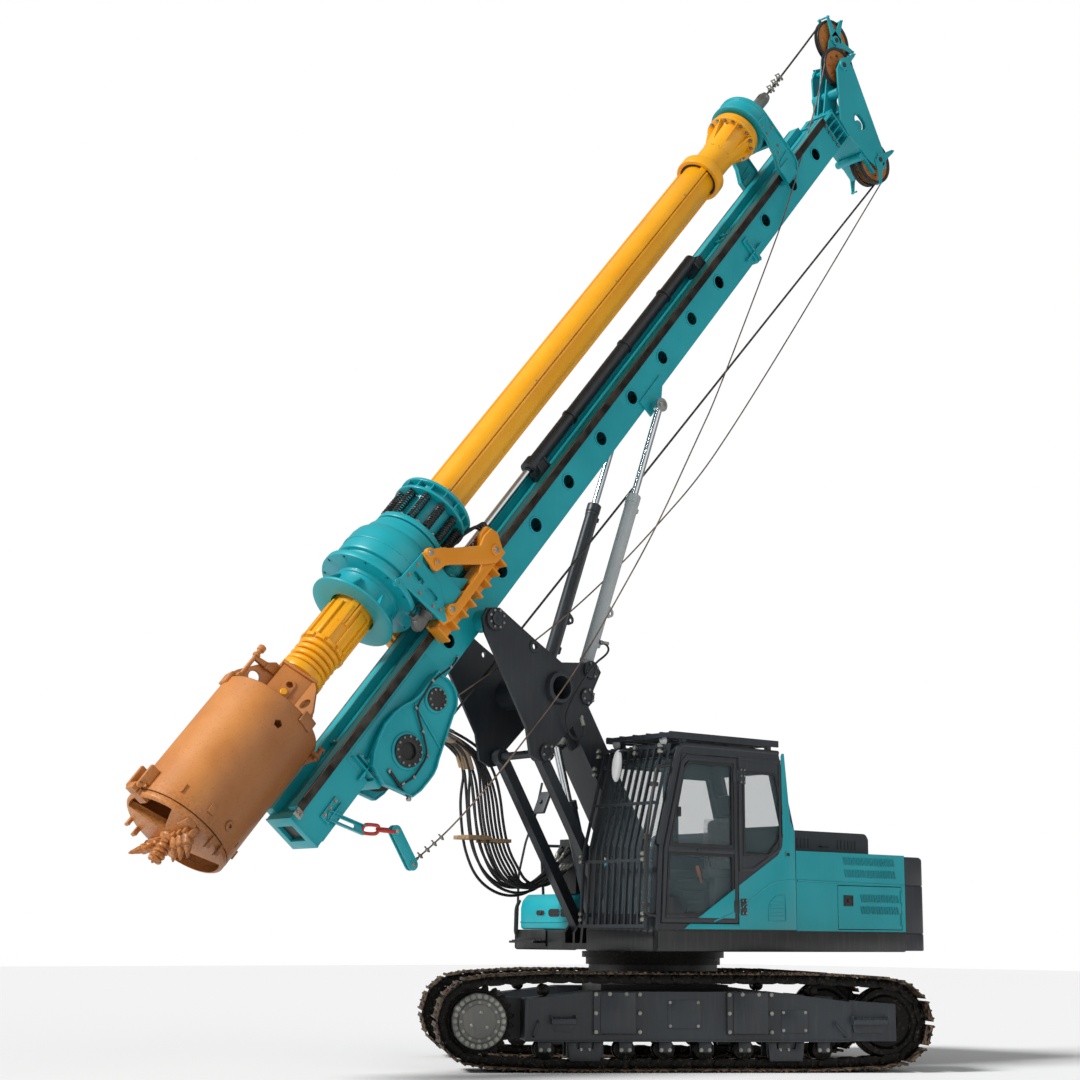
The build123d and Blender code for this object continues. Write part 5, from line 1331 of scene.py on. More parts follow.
# %% Guide head
ARM = [(0.258, 7.072), (0.258, 7.31), (0.34, 7.395), (0.42, 7.42), (1.04, 7.42), (1.04, 7.205), (0.8, 7.2),
    (0.62, 7.16), (0.48, 7.072)]
arm = [cut_plate(ARM, (0.3, 0.318), 0.004, 14), rim_plate(ARM, 0.016, (0.277, 0.336))]
arm += [crate((0.252, 0.47), (0.277, 0.336), (7.075, 7.298), 0.01),
    crate((0.252, 0.313), (0.216, 0.33), (7.075, 7.298), 0.008)]
arm.append(cut_plate([(0.5, 7.13), (0.515, 7.13), (0.545, 7.35), (0.53, 7.35)], (0.28, 0.334), 0.003))
ring = lathe([(0.246, 7.2), (0.335, 7.2), (0.335, 7.245), (0.322, 7.25), (0.322, 7.37), (0.335, 7.375), (0.335, 7.42),
    (0.246, 7.42)], 64, 0.003, hollow=True)
cap = lathe([(0.16, 7.418), (0.25, 7.418), (0.25, 7.495), (0.232, 7.512), (0.16, 7.512)], 56, 0.003, hollow=True)
for piece in (ring, cap):
    piece.data.transform(Matrix.Translation((KELLY_OUT, 0, 0)))
brace = crate((0.7, 0.735), (-0.3, 0.3), (7.225, 7.4), 0.006)
settle(joined(both(arm), ring, cap, brace), "guide_head", teal, "kelly_guide", MAST, ["kelly_guide"])
spots = [turn @ Matrix.Translation((0.29, 0, 7.42)) for turn in about_z(12)]
fasten("kelly_guide", copies(bolt(0.024, (0, 0, 1)), spots), ON_KELLY)
spots = [(n, 0.318, s) for n, s in ((0.6, 7.23), (0.66, 7.29), (0.86, 7.25), (0.86, 7.37), (0.96, 7.25))]
fasten("kelly_guide", [both(copies(bolt(0.024), spots))], MAST)
print("guide head on its shoes")

# %% [markdown]
# ## The drilling bucket
# A rolled shell under a square socket that is turned on it, so that four webs run out from
# near its corners to clamps on the rim. The floor swings on its hinge: a disc with two soil
# mouths, blades with conical picks, and a spiral pilot at the centre.

# %% Bucket
HEAD_TURN, PICK_LEAN, PICK_FAN = 58, 34, 9
SHELL = [(0.493, -3.648), (0.515, -3.648), (0.515, -2.284), (0.508, -2.274), (0.08, -2.274), (0.08, -2.3),
    (0.493, -2.3)]
shell = lathe(SHELL, 96, 0, hollow=True)
shell = drilled(shell, bar(around(0.42, 80, -2.514), around(0.6, 80, -2.514), 0.042, 5, 0),
    *[bar(around(0.42, 136, s), around(0.6, 136, s), 0.014, 12, 0) for s in (-3.525, -3.495)])
parts = [shell]
for degrees, size in ((-2, 0.008), (48, 0.008), (82, 0.032), (160, 0.008), (210, 0.008), (262, 0.032), (310, 0.008)):
    clip = crate((0.508, 0.532), (-size, size), (-3.56, -3.47), 0.003)
    parts.append(clip)
    clip.data.transform(spin(degrees))
boss = lathe([(0.018, 0), (0.046, 0), (0.046, 0.014), (0.038, 0.02), (0.018, 0.02)], 28, 0.002, hollow=True)
parts.append(turned_to(boss, around(0.512, 107, -3.5), around(1, 107, 0)))
pin_hole = [bar((side * 0.12, 0, -1.99), (side * 0.3, 0, -1.99), 0.032, 24, 0) for side in (-1, 1)]
box = [drilled(crate((-0.165, 0.165), (-0.165, 0.165), (-2.276, -1.826), 0.01), *pin_hole),
    crate((-0.186, 0.186), (-0.186, 0.186), (-1.838, -1.803), 0.006)]
for k in range(2):
    panel = cut_plate(oval(0.008, 0, 0.055, 0.058), (0.162, 0.178), 0.003)
    panel = drilled(panel, bar((-0.047, 0.1, 0), (-0.047, 0.3, 0), 0.032, 24, 0))
    panel.data.transform(Matrix.Rotation(k * math.pi - math.pi / 2, 4, "Z") @ Matrix.Translation((0, 0, -2.037)) @
        spin(90, "Y"))
    box.append(panel)
head = joined(box)
web = cut_plate([(0.15, -1.842), (0.262, -1.842), (0.335, -1.915), (0.5, -2.165), (0.515, -2.205), (0.515, -2.276),
    (0.15, -2.276)], (-0.012, 0.012), 0.003)
web = drilled(web, bar((0.34, -0.05, -2.1), (0.34, 0.05, -2.1), 0.056, 28, 0))
clamp = joined(crate((0.506, 0.536), (-0.085, 0.085), (-2.35, -2.232), 0.008),
    crate((0.47, 0.52), (-0.02, 0.02), (-2.3, -2.205), 0.006))
head.data.transform(spin(HEAD_TURN))
spread = [spin(a) for a in (-10, 103, 193, 283)]
parts += [head] + copies(web, spread) + copies(clamp, spread)
parts += [lathe([(0.02, -2.285), (0.02, -1.965), (0.036, -1.96), (0.036, -1.935), (0.024, -1.93), (0.024, -1.895),
    (0.038, -1.89), (0.038, -1.845), (0.03, -1.838)], 24, 0.002)]
parts[-1].data.transform(Matrix.Translation((0.455, -0.03, 0)))
parts += [cut_plate([(0.2, -1.88), (0.45, -1.955), (0.475, -1.975), (0.45, -1.995), (0.2, -1.96)], (y, y + 0.012),
    0.003) for y in (-0.052, -0.02)]
parts += [crate((0.425, 0.485), (-0.058, -0.002), (-2.288, -2.19), 0.006),
    crate((0.3, 0.33), (-0.055, 0.0), (-1.985, -1.915), 0.004)]
latch = joined(crate((0.505, 0.6), (-0.055, 0.055), (-2.372, -2.34), 0.004),
    cut_plate([(0.505, -2.52), (0.596, -2.372), (0.505, -2.345)], (-0.012, 0.012), 0.003),
    bar((0.57, 0, -2.4), (0.57, 0, -2.27), 0.022, 18), crate((0.535, 0.6), (-0.02, 0.02), (-2.285, -2.255), 0.004))
latch.data.transform(spin(148))
parts.append(latch)
for y in ((0.066, 0.11), (-0.11, -0.066)):
    parts += [crate((0.5, 0.6), y, (-3.61, -3.45), 0.006), crate((0.542, 0.598), y, (-3.655, -3.6), 0.004),
        bar((0.57, y[0], -3.655), (0.57, y[1], -3.655), 0.028, 24)]
settle(joined(parts), "bucket_shell", bucket_paint, "kelly", ON_KELLY, ["drilling_bucket"])
pin = turned_to(lathe([(0.036, 0), (0.036, 0.014), (0.03, 0.02), (0.012, 0.02)], 24, 0.003),
    around(0.178, HEAD_TURN, -2.086), around(1, HEAD_TURN, 0))
settle(pin, "head_pin", yellow, "kelly", ON_KELLY)
print("bucket rolled")

# %% Bucket floor
def laid(outline, low, high, edge=0.004):
    """Plate of that outline in X and Y, between two heights."""
    piece = cut_plate(outline, (-high, -low), edge)
    piece.data.transform(spin(-90, "X"))
    piece.data.flip_normals()
    only(piece)
    bpy.ops.object.mode_set(mode="EDIT")
    bpy.ops.mesh.select_all(action="SELECT")
    bpy.ops.mesh.normals_make_consistent(inside=False)
    bpy.ops.object.mode_set(mode="OBJECT")
    return piece


disc = lathe([(0.3, -3.658), (0.513, -3.658), (0.513, -3.7), (0.495, -3.716), (0.2, -3.752), (0.06, -3.76)], 72,
    0.002)
mouth = [(0.11, 0.0)] + [around(0.478, degrees, 0)[:2] for degrees in range(-43, 44, 5)]
MOUTH_TURN, BLADE_TURN = spin(8), spin(82)
disc = drilled(disc, *copies(laid(mouth, -3.9, -3.5, 0), [MOUTH_TURN, Matrix.Rotation(math.pi, 4, "Z") @ MOUTH_TURN]))
pick = joined(lathe([(0.034, 0), (0.038, 0.012), (0.038, 0.072), (0.028, 0.084)], 16, 0),
    lathe([(0.024, 0.076), (0.027, 0.098), (0.019, 0.124), (0.014, 0.15), (0.005, 0.17)], 14, 0))
pick.data.transform(Matrix.Scale(1.28, 4))
half = [crate((0.085, 0.5), (-0.02, 0.026), (-3.812, -3.724), 0.006),
    crate((0.085, 0.47), (0.02, 0.056), (-3.776, -3.744), 0.004),
    crate((0.3, 0.505), (-0.125, -0.015), (-3.746, -3.7), 0.008)]
for number, x in enumerate((0.165, 0.285, 0.405)):
    tilt = Matrix.Translation((x, -0.01, -3.772)) @ spin(180 + PICK_LEAN, "X")
    half += copies(pick, [tilt @ spin(PICK_FAN * (number - 1), "Y")], number < 2)
half += [cut_plate([(x, -3.735), (x + 0.07, -3.735), (x + 0.07, -3.806), (x, -3.796)], (-0.06, -0.018), 0.004)
    for x in (0.13, 0.25, 0.37)]
half += [crate((0.43, 0.51), (0.155, 0.19), (-3.79, -3.668), 0.005),
    crate((0.395, 0.47), (0.27, 0.3), (-3.776, -3.668), 0.005)]
half = joined(half)
half.data.transform(BLADE_TURN)
twin = copies(half, [Matrix.Rotation(math.pi, 4, "Z")], True)
pilot = [lathe([(0.105, -3.735), (0.1, -3.78), (0.062, -3.812), (0.03, -3.826), (0.024, -4.01), (0.004, -4.036)], 28,
    0.002), helix(0.044, 0.025, -4.035, -3.785, 4.2, 8, 16)]
hinge = [crate((0.4, 0.545), (-0.06, 0.06), (-3.716, -3.662), 0.004),
    crate((0.53, 0.598), (-0.06, 0.06), (-3.716, -3.655), 0.004),
    bar((0.57, -0.06, -3.655), (0.57, 0.06, -3.655), 0.028, 24)]
settle(joined(disc, half, twin, pilot, hinge), "cutting_floor", bucket_paint, "bucket_floor", ON_KELLY,
    ["bucket_floor"])
print("floor cut")

# %% [markdown]
# ## Winch ears on the mast
# Two big plates carry the rope drums. Their outline runs in two arcs round the drums, with
# a flange along its edge, bolted black covers over the bearings and a hose clipped on.

# %% Winch ears
MAIN_DRUM, AUX_DRUM = (-0.14, -1.62), (-0.06, -1.02)


def arc(centre, radius, first, last, step):
    """Points of an arc in X and Z, angles in degrees from X."""
    return [(centre[0] + radius * math.cos(math.radians(a)), centre[1] + radius * math.sin(math.radians(a)))
        for a in range(first, last + 1, step)]


EAR = [(0.11, -0.8)] + arc(AUX_DRUM, 0.24, 64, 176, 14) + arc(MAIN_DRUM, 0.36, 150, 186, 12) + [(-0.49, -1.8),
    (-0.457, -1.914), (-0.14, -2.045), (0.07, -2.0), (0.14, -1.9), (0.185, -1.76), (0.215, -1.61), (0.21, -1.45),
    (0.18, -1.33), (0.132, -1.22), (0.112, -1.106)]
ear = [cut_plate(EAR, (0.27, 0.3), 0.004, 14), rim_plate(EAR, 0.016, (0.262, 0.336)),
    crate((0.0, 0.262), (0.196, 0.204), (-2.085, -0.712), 0.002)]
ear.append(cut_plate([(0.094, -1.215), (0.094, -1.235), (-0.4, -1.345), (-0.4, -1.325)], (0.298, 0.318), 0.003))
for (n, s), radius in ((MAIN_DRUM, 0.155), (AUX_DRUM, 0.11)):
    collar = lathe([(radius - 0.01, 0.3), (radius + 0.026, 0.3), (radius + 0.026, 0.312), (radius + 0.016, 0.32),
        (radius - 0.01, 0.32)], 48, 0.002, hollow=True)
    ear.append(on_axle(collar, n, s))
frame_bits = [both(ear), mirrored(crate((0.05, 0.11), (0.2, 0.272), (-1.98, -0.83), 0.006)),
    crate((-0.16, 0.245), (-0.268, 0.268), (-2.047, -2.038), 0.002),
    crate((-0.16, -0.054), (-0.268, 0.268), (-2.078, -2.04), 0.006)]
frame_bits += [bar((n, -0.272, s), (n, 0.272, s), r, 32) for (n, s), r in ((MAIN_DRUM, 0.05), (AUX_DRUM, 0.04))]
settle(joined(frame_bits), "winch_ears", teal, "mast", MAST, ["winch_housing"])
covers = []
for (n, s), radius, hole, count in ((MAIN_DRUM, 0.155, 0.08, 12), (AUX_DRUM, 0.112, 0.0, 10)):
    if hole:
        cover = lathe([(hole, 0.3), (radius, 0.3), (radius, 0.334), (radius - 0.006, 0.34), (hole + 0.008, 0.34),
            (hole, 0.332)], 48, 0.002, hollow=True)
        covers.append(on_axle(lathe([(hole + 0.01, 0.296), (hole + 0.01, 0.306)], 32, 0), n, s))
    else:
        cover = lathe([(radius, 0.3), (radius, 0.326), (radius - 0.006, 0.332)], 48, 0.002)
    covers.append(on_axle(cover, n, s))
    face = 0.34 if hole else 0.332
    heads = copies(bolt(0.022, washer=False), round_the((n, face, s), radius - 0.02, count, 0.13))
    fasten("mast", [both(heads)], MAST)
settle(both(covers), "bearing_covers", skirt_black, "mast", MAST)
line = [(-0.02, 0.212, -0.48), (-0.01, 0.25, -0.56), (0.03, 0.33, -0.68), (0.105, 0.346, -0.94), (0.065, 0.33, -1.26),
    (-0.14, 0.326, -1.37), (-0.33, 0.326, -1.5), (-0.345, 0.326, -1.76), (-0.3, 0.326, -1.88)]
strut = [bar((-0.11, 0.322, -1.905), (-0.3, 0.322, -1.93), 0.016, 16),
    bar((-0.44, 0.322, -1.948), (-0.29, 0.322, -1.929), 0.008, 12)]
settle(joined(tube_run(line, 0.01, 10, bend=0.08), *strut), "ear_hose", rubber, "mast", MAST)
clips = [crate((n - 0.016, n + 0.016), (y - 0.014, y + 0.014), (s - 0.012, s + 0.012), 0.003)
    for n, y, s in line[2:8]]
clips += [bar((-0.02, 0.196, -0.47), (-0.02, 0.216, -0.486), 0.016, 12),
    bar((-0.302, 0.326, -1.868), (-0.298, 0.3, -1.9), 0.016, 12)]
clips += [turned_to(lathe([(0.022, 0), (0.022, 0.03), (0.012, 0.036)], 16, 0.002), (n, 0.3, s), (0, 1, 0))
    for n, s in ((-0.11, -1.905), (-0.44, -1.948))]
settle(joined(clips), "ear_clips", zinc, "mast", MAST)
print("ears on")

# %% [markdown]
# ## Along the mast
# Bolted cross plates bridge the channel between the rails, angle brackets clasp the two
# sections where they meet, and a collar is welded round each of the holes in its sides.

# %% Cross plates, splice brackets and rail strips
MAST_HOLES = (-0.43, 0.57, 1.25, 1.92, 2.61, 3.29, 3.98, 4.67, 5.34, 6.53, 7.25, 7.88)
plates, heads = [], []
for s in (-1.93, 5.99, 6.11):
    plates.append(crate((0.318, 0.352), (-0.128, 0.128), (s - 0.009, s + 0.009), 0.003))
    heads += [(0.338, y, s + 0.009) for y in (-0.09, -0.03, 0.03, 0.09)]
for s in (-1.985, 6.05):
    bracket = [crate((-0.08, 0.2), (0.198, 0.252), (s - 0.009, s + 0.009), 0.003),
        crate((0.04, 0.058), (0.198, 0.252), (s - 0.17, s + 0.17), 0.003),
        cut_plate([(0.058, s + 0.009), (0.15, s + 0.009), (0.058, s + 0.11)], (0.198, 0.208), 0.002)]
    plates.append(both(bracket))
    heads += [(n, y, s + 0.009) for n in (-0.05, 0.01, 0.1, 0.16) for y in (-0.236, 0.236)]
plates.append(crate((-0.075, -0.048), (-0.12, 0.12), (5.96, 6.14), 0.006))
settle(joined(plates), "cross_plates", teal, "mast", MAST)
fasten("mast", copies(bolt(0.026, (0, 0, 1)), heads), MAST)
collars = [on_axle(flat_ring(0.072, 0.088, 0.196, 0.208, 32, 0.002), 0.155, s) for s in MAST_HOLES]
settle(both(collars), "hole_collars", teal, "mast", MAST)
strip = crate((0.318, 0.401), (0.262, 0.273), (-2.8, 8.275), 0.003)
settle(mirrored(strip), "greased_strips", rail_steel, "mast", MAST)
worn = joined(crate((0.398, 0.403), (0.252, 0.274), (-2.7, 8.25), 0.001),
    crate((0.398, 0.402), (0.132, 0.142), (-2.7, 8.25), 0.001))
settle(mirrored(worn), "rubbed_edges", rubbed, "mast", MAST)
brackets = [crate((0.32, 0.5), (-0.112, 0.112), (s, s + 0.022), 0.004) for s in (1.795, 1.925, 5.29, 5.425)]
bands = [flat_ring(0.074, 0.088, low, low + 0.03, 40) for low in (2.6, 3.8, 4.7)]
for band in bands:
    band.data.transform(Matrix.Translation((0.5, 0, 0)))
settle(joined(brackets, bands), "crowd_clamps", charcoal, "mast", MAST)
print("mast dressed")

# %% [markdown]
# ## Foot of the mast
# A slotted arm is bolted beside the foot. A red shackle and a teal link hang on it, and
# the light rope from the auxiliary sheave is made off to the link with four clips. A dark
# plate of painted shade behind the hole in the foot stands for the hollow inside.

# %% Foot arm, shackle and link
arm = cut_plate([(0.11, -2.585), (-0.272, -2.424), (-0.316, -2.506), (0.06, -2.665)], (0.222, 0.24), 0.005)
slot = oval(0, 0, 0.085, 0.018)
lean = math.atan2(-2.424 + 2.585, -0.272 - 0.11)
slot = [(-0.105 + x * math.cos(lean) - z * math.sin(lean), -2.545 + x * math.sin(lean) + z * math.cos(lean))
    for x, z in slot]
arm = drilled(arm, cut_plate(slot, (0.2, 0.26), 0))
edges = [cut_plate([(0.11, -2.585), (-0.272, -2.424), (-0.275, -2.432), (0.106, -2.593)], (0.222, 0.268), 0.002),
    cut_plate([(0.06, -2.665), (-0.316, -2.506), (-0.313, -2.498), (0.064, -2.657)], (0.222, 0.268), 0.002),
    crate((0.02, 0.13), (0.198, 0.224), (-2.68, -2.43), 0.004),
    crate((0.05, 0.062), (0.198, 0.262), (-2.66, -2.45), 0.003)]
foot = crate((-0.045, 0.355), (-0.206, 0.206), (-2.904, -2.884), 0.006)
foot = drilled(foot, crate((0.055, 0.255), (-0.125, 0.125), (-2.95, -2.85), 0))
settle(joined(arm, *edges, foot), "foot_arm", teal, "mast", MAST)
# Painted shade: a dark plate behind the hole in the foot stands for the hollow inside.
settle(crate((0.035, 0.275), (-0.145, 0.145), (-2.868, -2.86), 0.001), "foot_hole_shade", skirt_black, "mast", MAST)
fasten("mast", copies(bolt(0.026), [(0.105, 0.224, s) for s in (-2.64, -2.555, -2.47)]), MAST)
stop = crate((0.3, 0.392), (0.262, 0.288), (-2.88, -2.802), 0.006)
settle(joined(stop, *copies(bolt(0.024), [(0.325, 0.288, -2.841), (0.37, 0.288, -2.841)])), "rail_stop", zinc, "mast",
    MAST)
LINK_ENDS = ((-0.551, -2.241), (-0.893, -2.348))


def loop(centre, toward, long, wide, wire, roll):
    """Closed oval ring of round bar, long toward a point, rolled about that line."""
    bpy.ops.object.select_all(action="DESELECT")
    bpy.ops.mesh.primitive_torus_add(major_segments=28, minor_segments=10, major_radius=wide - wire,
        minor_radius=wire)
    ring = bpy.context.object
    for corner in ring.data.vertices:
        across = corner.co.x
        stretch = math.copysign(long - wide, across) * min(1, abs(across) * 60)
        corner.co.z, corner.co.x = across + stretch, -corner.co.z
    ring.data.transform(Matrix.Rotation(roll, 4, "Z"))
    return turned_to(eased(ring, 0), centre, Vector(toward) - Vector(centre))


end = (LINK_ENDS[0][0], 0.25, LINK_ENDS[0][1])
rings = [loop((-0.345, 0.236, -2.405), end, 0.105, 0.062, 0.017, 0.5),
    loop((-0.475, 0.244, -2.3), end, 0.105, 0.056, 0.017, 1.9)]
settle(joined(rings), "red_shackle", red, "mast", MAST)
angle = math.atan2(LINK_ENDS[1][1] - LINK_ENDS[0][1], LINK_ENDS[1][0] - LINK_ENDS[0][0])
length = math.dist(*LINK_ENDS)
side = joined(cut_plate(oval(length / 2, 0, length / 2, 0.056), (0.016, 0.034), 0.003),
    *copies(turned_to(lathe([(0.04, 0), (0.04, 0.006)], 24, 0.002), (0, 0.034, 0), (0, 1, 0)),
    [(0, 0, 0), (length, 0, 0)]))
link = joined(mirrored(side), crate((0.08, length - 0.08), (-0.017, 0.017), (-0.03, 0.03), 0.004))
link.data.transform(Matrix.Translation((LINK_ENDS[0][0], 0.25, LINK_ENDS[0][1])) @ Matrix.Rotation(-angle, 4, "Y"))
settle(link, "foot_link", teal, "mast", MAST)
pins = [bar((n, 0.2, s), (n, 0.3, s), 0.022, 20) for n, s in LINK_ENDS]
settle(joined(pins), "link_pins", zinc, "mast", MAST)
print("foot arm hung")

# %% [markdown]
# ## Head of the mast
# Two long plates hold four sheaves. Star-shaped keepers round each pin stop the ropes from
# leaping out, ribs stiffen the seat on the mast, and a cross tube ties the plates.

# %% Head frame
MAIN_TOP, AUX_TOP, REAR = (0.8, 9.51), (0.587, 9.18), (-0.57, 8.77)
PLATE = [(-0.642, 8.685), (-0.715, 8.79), (-0.64, 8.895), (0.44, 9.32), (0.56, 9.32), (0.655, 9.22), (0.62, 9.06),
    (0.167, 8.59), (-0.05, 8.56), (-0.217, 8.6), (-0.45, 8.62)]
YOKE = [(0.31, 8.545), (0.06, 8.545), (0.44, 9.16), (0.71, 9.56), (0.8, 9.6), (0.89, 9.54), (0.86, 9.4), (0.56, 8.95)]
plate = cut_plate(PLATE, (0.192, 0.218), 0.005, 14)
plate = drilled(plate, cut_plate(oval(-0.05, 8.86, 0.034, 0.074), (0.15, 0.25), 0))
parts = [plate, rim_plate(oval(-0.05, 8.86, 0.036, 0.08), 0.008, (0.172, 0.224)),
    cut_plate(YOKE, (0.042, 0.06), 0.004, 14)]
keepers = []
for (n, s), reach, side, turns in ((MAIN_TOP, 0.306, 0.062, (23, 70, 152)), (AUX_TOP, 0.276, 0.218, (95,)),
        (REAR, 0.296, 0.218, (104, 229))):
    for degrees in turns:
        blade = cut_plate([(0.01, -0.09), (reach * 0.5, -0.04), (reach, -0.022), (reach + 0.022, 0.0), (reach, 0.022),
            (reach * 0.5, 0.04), (0.01, 0.09)], (side - 0.002, side + 0.012), 0.003)
        blade.data.transform(Matrix.Translation((n, 0, s)) @ Matrix.Rotation(-math.radians(degrees), 4, "Y"))
        parts.append(blade)
        x, z = n + reach * math.cos(math.radians(degrees)), s + reach * math.sin(math.radians(degrees))
        keepers.append(mirrored(bar((x, side - 0.06, z), (x, side + 0.03, z), 0.012, 12)))
    parts.append(on_axle(lathe([(0.062, side - 0.002), (0.062, side + 0.016), (0.054, side + 0.022)], 28, 0.003), n,
        s))
settle(joined(keepers), "rope_keepers", teal, "mast", MAST)
seat = [crate((-0.07, 0.345), (-0.226, 0.226), (8.302, 8.322), 0.004),
    crate((-0.055, 0.325), (-0.1, 0.1), (8.315, 8.545), 0.006),
    crate((-0.06, 0.33), (-0.218, 0.218), (8.528, 8.548), 0.004)]
seat += [crate((n - 0.007, n + 0.007), (-0.215, 0.215), (8.318, 8.535), 0.002)
    for n in (-0.048, 0.045, 0.138, 0.231, 0.318)]
tubes = [bar((n, -0.2, s), (n, 0.2, s), r, 28)
    for n, s, r in ((0.4, 8.87, 0.062), (-0.36, 8.56, 0.045), (0.12, 8.96, 0.03), (-0.07, 8.825, 0.066))]
tubes += [bar((n, -y, s), (n, y, s), 0.035, 24) for (n, s), y in ((MAIN_TOP, 0.07), (AUX_TOP, 0.226), (REAR, 0.226))]
tubes += [crate((0.3, 0.325), (-0.15, 0.15), (8.36, 8.64), 0.004),
    crate((-0.64, 0.15), (-0.195, 0.195), (8.6, 8.618), 0.004)]
settle(joined(both(parts), *seat, *tubes), "head_frame", teal, "mast", MAST, ["mast_head"])
knobs = [on_axle(lathe([(0.032, y), (0.032, y + 0.01), (0.02, y + 0.016)], 20, 0.002), n, s)
    for (n, s), y in ((MAIN_TOP, 0.078), (AUX_TOP, 0.236), (REAR, 0.236))]
settle(both(knobs), "sheave_caps", skirt_black, "mast", MAST)
heads = [(n, y, 8.3) for n in (0.0, 0.09, 0.18, 0.27) for y in (-0.212, 0.212)]
fasten("mast", copies(bolt(0.028, (0, 0, -1)), heads), MAST)


def sheave(name, centre, y, radius):
    """Cast sheave: web with holes in brown, a black grooved rim."""
    web = lathe([(0.038, -0.016), (radius - 0.03, -0.014), (radius - 0.03, 0.014), (0.038, 0.016)], 48, 0.001,
        hollow=True)
    web = drilled(web, *round_bars(radius * 0.58, 8, 0.024))
    hub = lathe([(0.038, -0.032), (0.075, -0.032), (0.08, -0.012), (0.08, 0.012), (0.075, 0.032), (0.038, 0.032)], 32,
        0.002, hollow=True)
    rim = lathe([(radius - 0.034, -0.018), (radius - 0.014, -0.031), (radius, -0.031), (radius, -0.024),
        (radius - 0.026, -0.009), (radius - 0.026, 0.009), (radius, 0.024), (radius, 0.031), (radius - 0.014, 0.031),
        (radius - 0.034, 0.018)], 64, 0.001, hollow=True)
    place = MAST @ Matrix.Translation((centre[0], y, centre[1])) @ spin(90, "X")
    settle(joined(web, hub), name + "_web", pulley_brown, name, place, [name])
    settle(rim, name + "_rim", skirt_black, name, place)


def round_bars(radius, count, hole):
    """Drills round the Z axis."""
    return [bar((radius * math.cos(math.tau * i / count), radius * math.sin(math.tau * i / count), -0.1),
        (radius * math.cos(math.tau * i / count), radius * math.sin(math.tau * i / count), 0.1), hole, 12, 0)
        for i in range(count)]


sheave("main_top_pulley", MAIN_TOP, 0.0, 0.28)
sheave("aux_top_pulley", AUX_TOP, 0.12, 0.25)
sheave("main_rear_pulley", REAR, 0.0, 0.27)
sheave("aux_rear_pulley", REAR, 0.12, 0.27)
print("sheaves hung")

# %% [markdown]
# ## Boom triangle and mast cylinders
# Every pin of the triangle ends in a bolted keeper ring, a bead of weld runs along its
# outline, and the lifting eye is doubled. Of the two mast cylinders the near one is
# silver and the far one dark, as if one had been changed. Each has a lifting lug.

# %% Keeper rings and weld bead
TRIANGLE = [(2.39, 4.4), (2.54, 4.385), (2.6, 4.28), (2.57, 4.15), (2.04, 3.25), (1.99, 2.99), (1.85, 2.93),
    (1.72, 2.96), (1.69, 3.08), (1.2, 3.56), (1.18, 3.69), (1.08, 3.88), (1.15, 3.97), (1.6, 3.935), (1.96, 4.14)]
rings = [rim_plate(TRIANGLE, 0.014, (0.4145, 0.4185), 0.001)]
heads = []
for (x, z), radius, hole, depth, count in (((1.79, 3.03), 0.088, 0.042, 0.036, 5),
        ((1.27, 3.62), 0.085, 0.048, 0.034, 6), ((1.22, 3.89), 0.092, 0.042, 0.034, 4),
        ((2.45, 4.28), 0.112, 0.056, 0.04, 8)):
    ring = lathe([(hole, 0.412), (radius, 0.412), (radius, 0.412 + depth - 0.008), (radius - 0.008, 0.412 + depth),
        (hole, 0.412 + depth)], 40, 0.002, hollow=True)
    rings.append(on_axle(ring, x, z))
    heads.append(joined(copies(bolt(0.024, washer=False),
        round_the((x, 0.412 + depth, z), (radius + hole) / 2 + 0.002, count, 0.4))))
sleeve = lathe([(0.117, 0.412), (0.168, 0.412), (0.16, 0.44), (0.157, 0.478), (0.149, 0.484), (0.117, 0.484)], 56,
    0.002, hollow=True)
eye = lathe([(0.032, 0.413), (0.062, 0.413), (0.062, 0.425), (0.056, 0.43), (0.032, 0.43)], 32, 0.002, hollow=True)
rings += [on_axle(sleeve, 1.647, 3.674), on_axle(eye, 1.95, 4.06)]
rings.append(on_axle(flat_ring(0.008, 0.062, 0.452, 0.47, 32, 0.003), 2.45, 4.28))
settle(both(rings), "triangle_rings", charcoal, "triangle")
fasten("triangle", [both(heads)])
foot_cap = lathe([(0.052, 0.196), (0.098, 0.196), (0.098, 0.212), (0.09, 0.218), (0.052, 0.218)], 36, 0.002,
    hollow=True)
caps = [on_axle(cap, x, z) for cap, (x, z) in zip(copies(foot_cap, [(0, 0, 0)] * 2), ((1.27, 3.62), (0.2, 1.89)))]
welds = [bar((0.31 + 0.2 * i, 0.198, 2.06 + 0.3235 * i), (0.33 + 0.2 * i, 0.198, 2.092 + 0.3235 * i), 0.006, 8)
    for i in range(4)]
settle(both(caps + welds), "boom_caps", charcoal, "boom_arm")
settle(bar((1.325, -0.132, 3.195), (1.325, 0.132, 3.195), 0.038, 28), "luff_head_pin", zinc, "boom_arm")
link_caps = [on_axle(flat_ring(0.046, 0.066, 0.35, 0.358, 32, 0.001), x, z) for x, z in ((0.72, 1.3), (1.79, 3.03))]
settle(both(link_caps), "link_caps", charcoal, "boom_links")
print("triangle dressed")

# %% Mast cylinders
TILT_FOOT, TILT_TOP = Vector((1.22, 0, 3.89)), MAST @ Vector((-0.11, 0, 3.44))
AXIS = (TILT_TOP - TILT_FOOT).normalized()


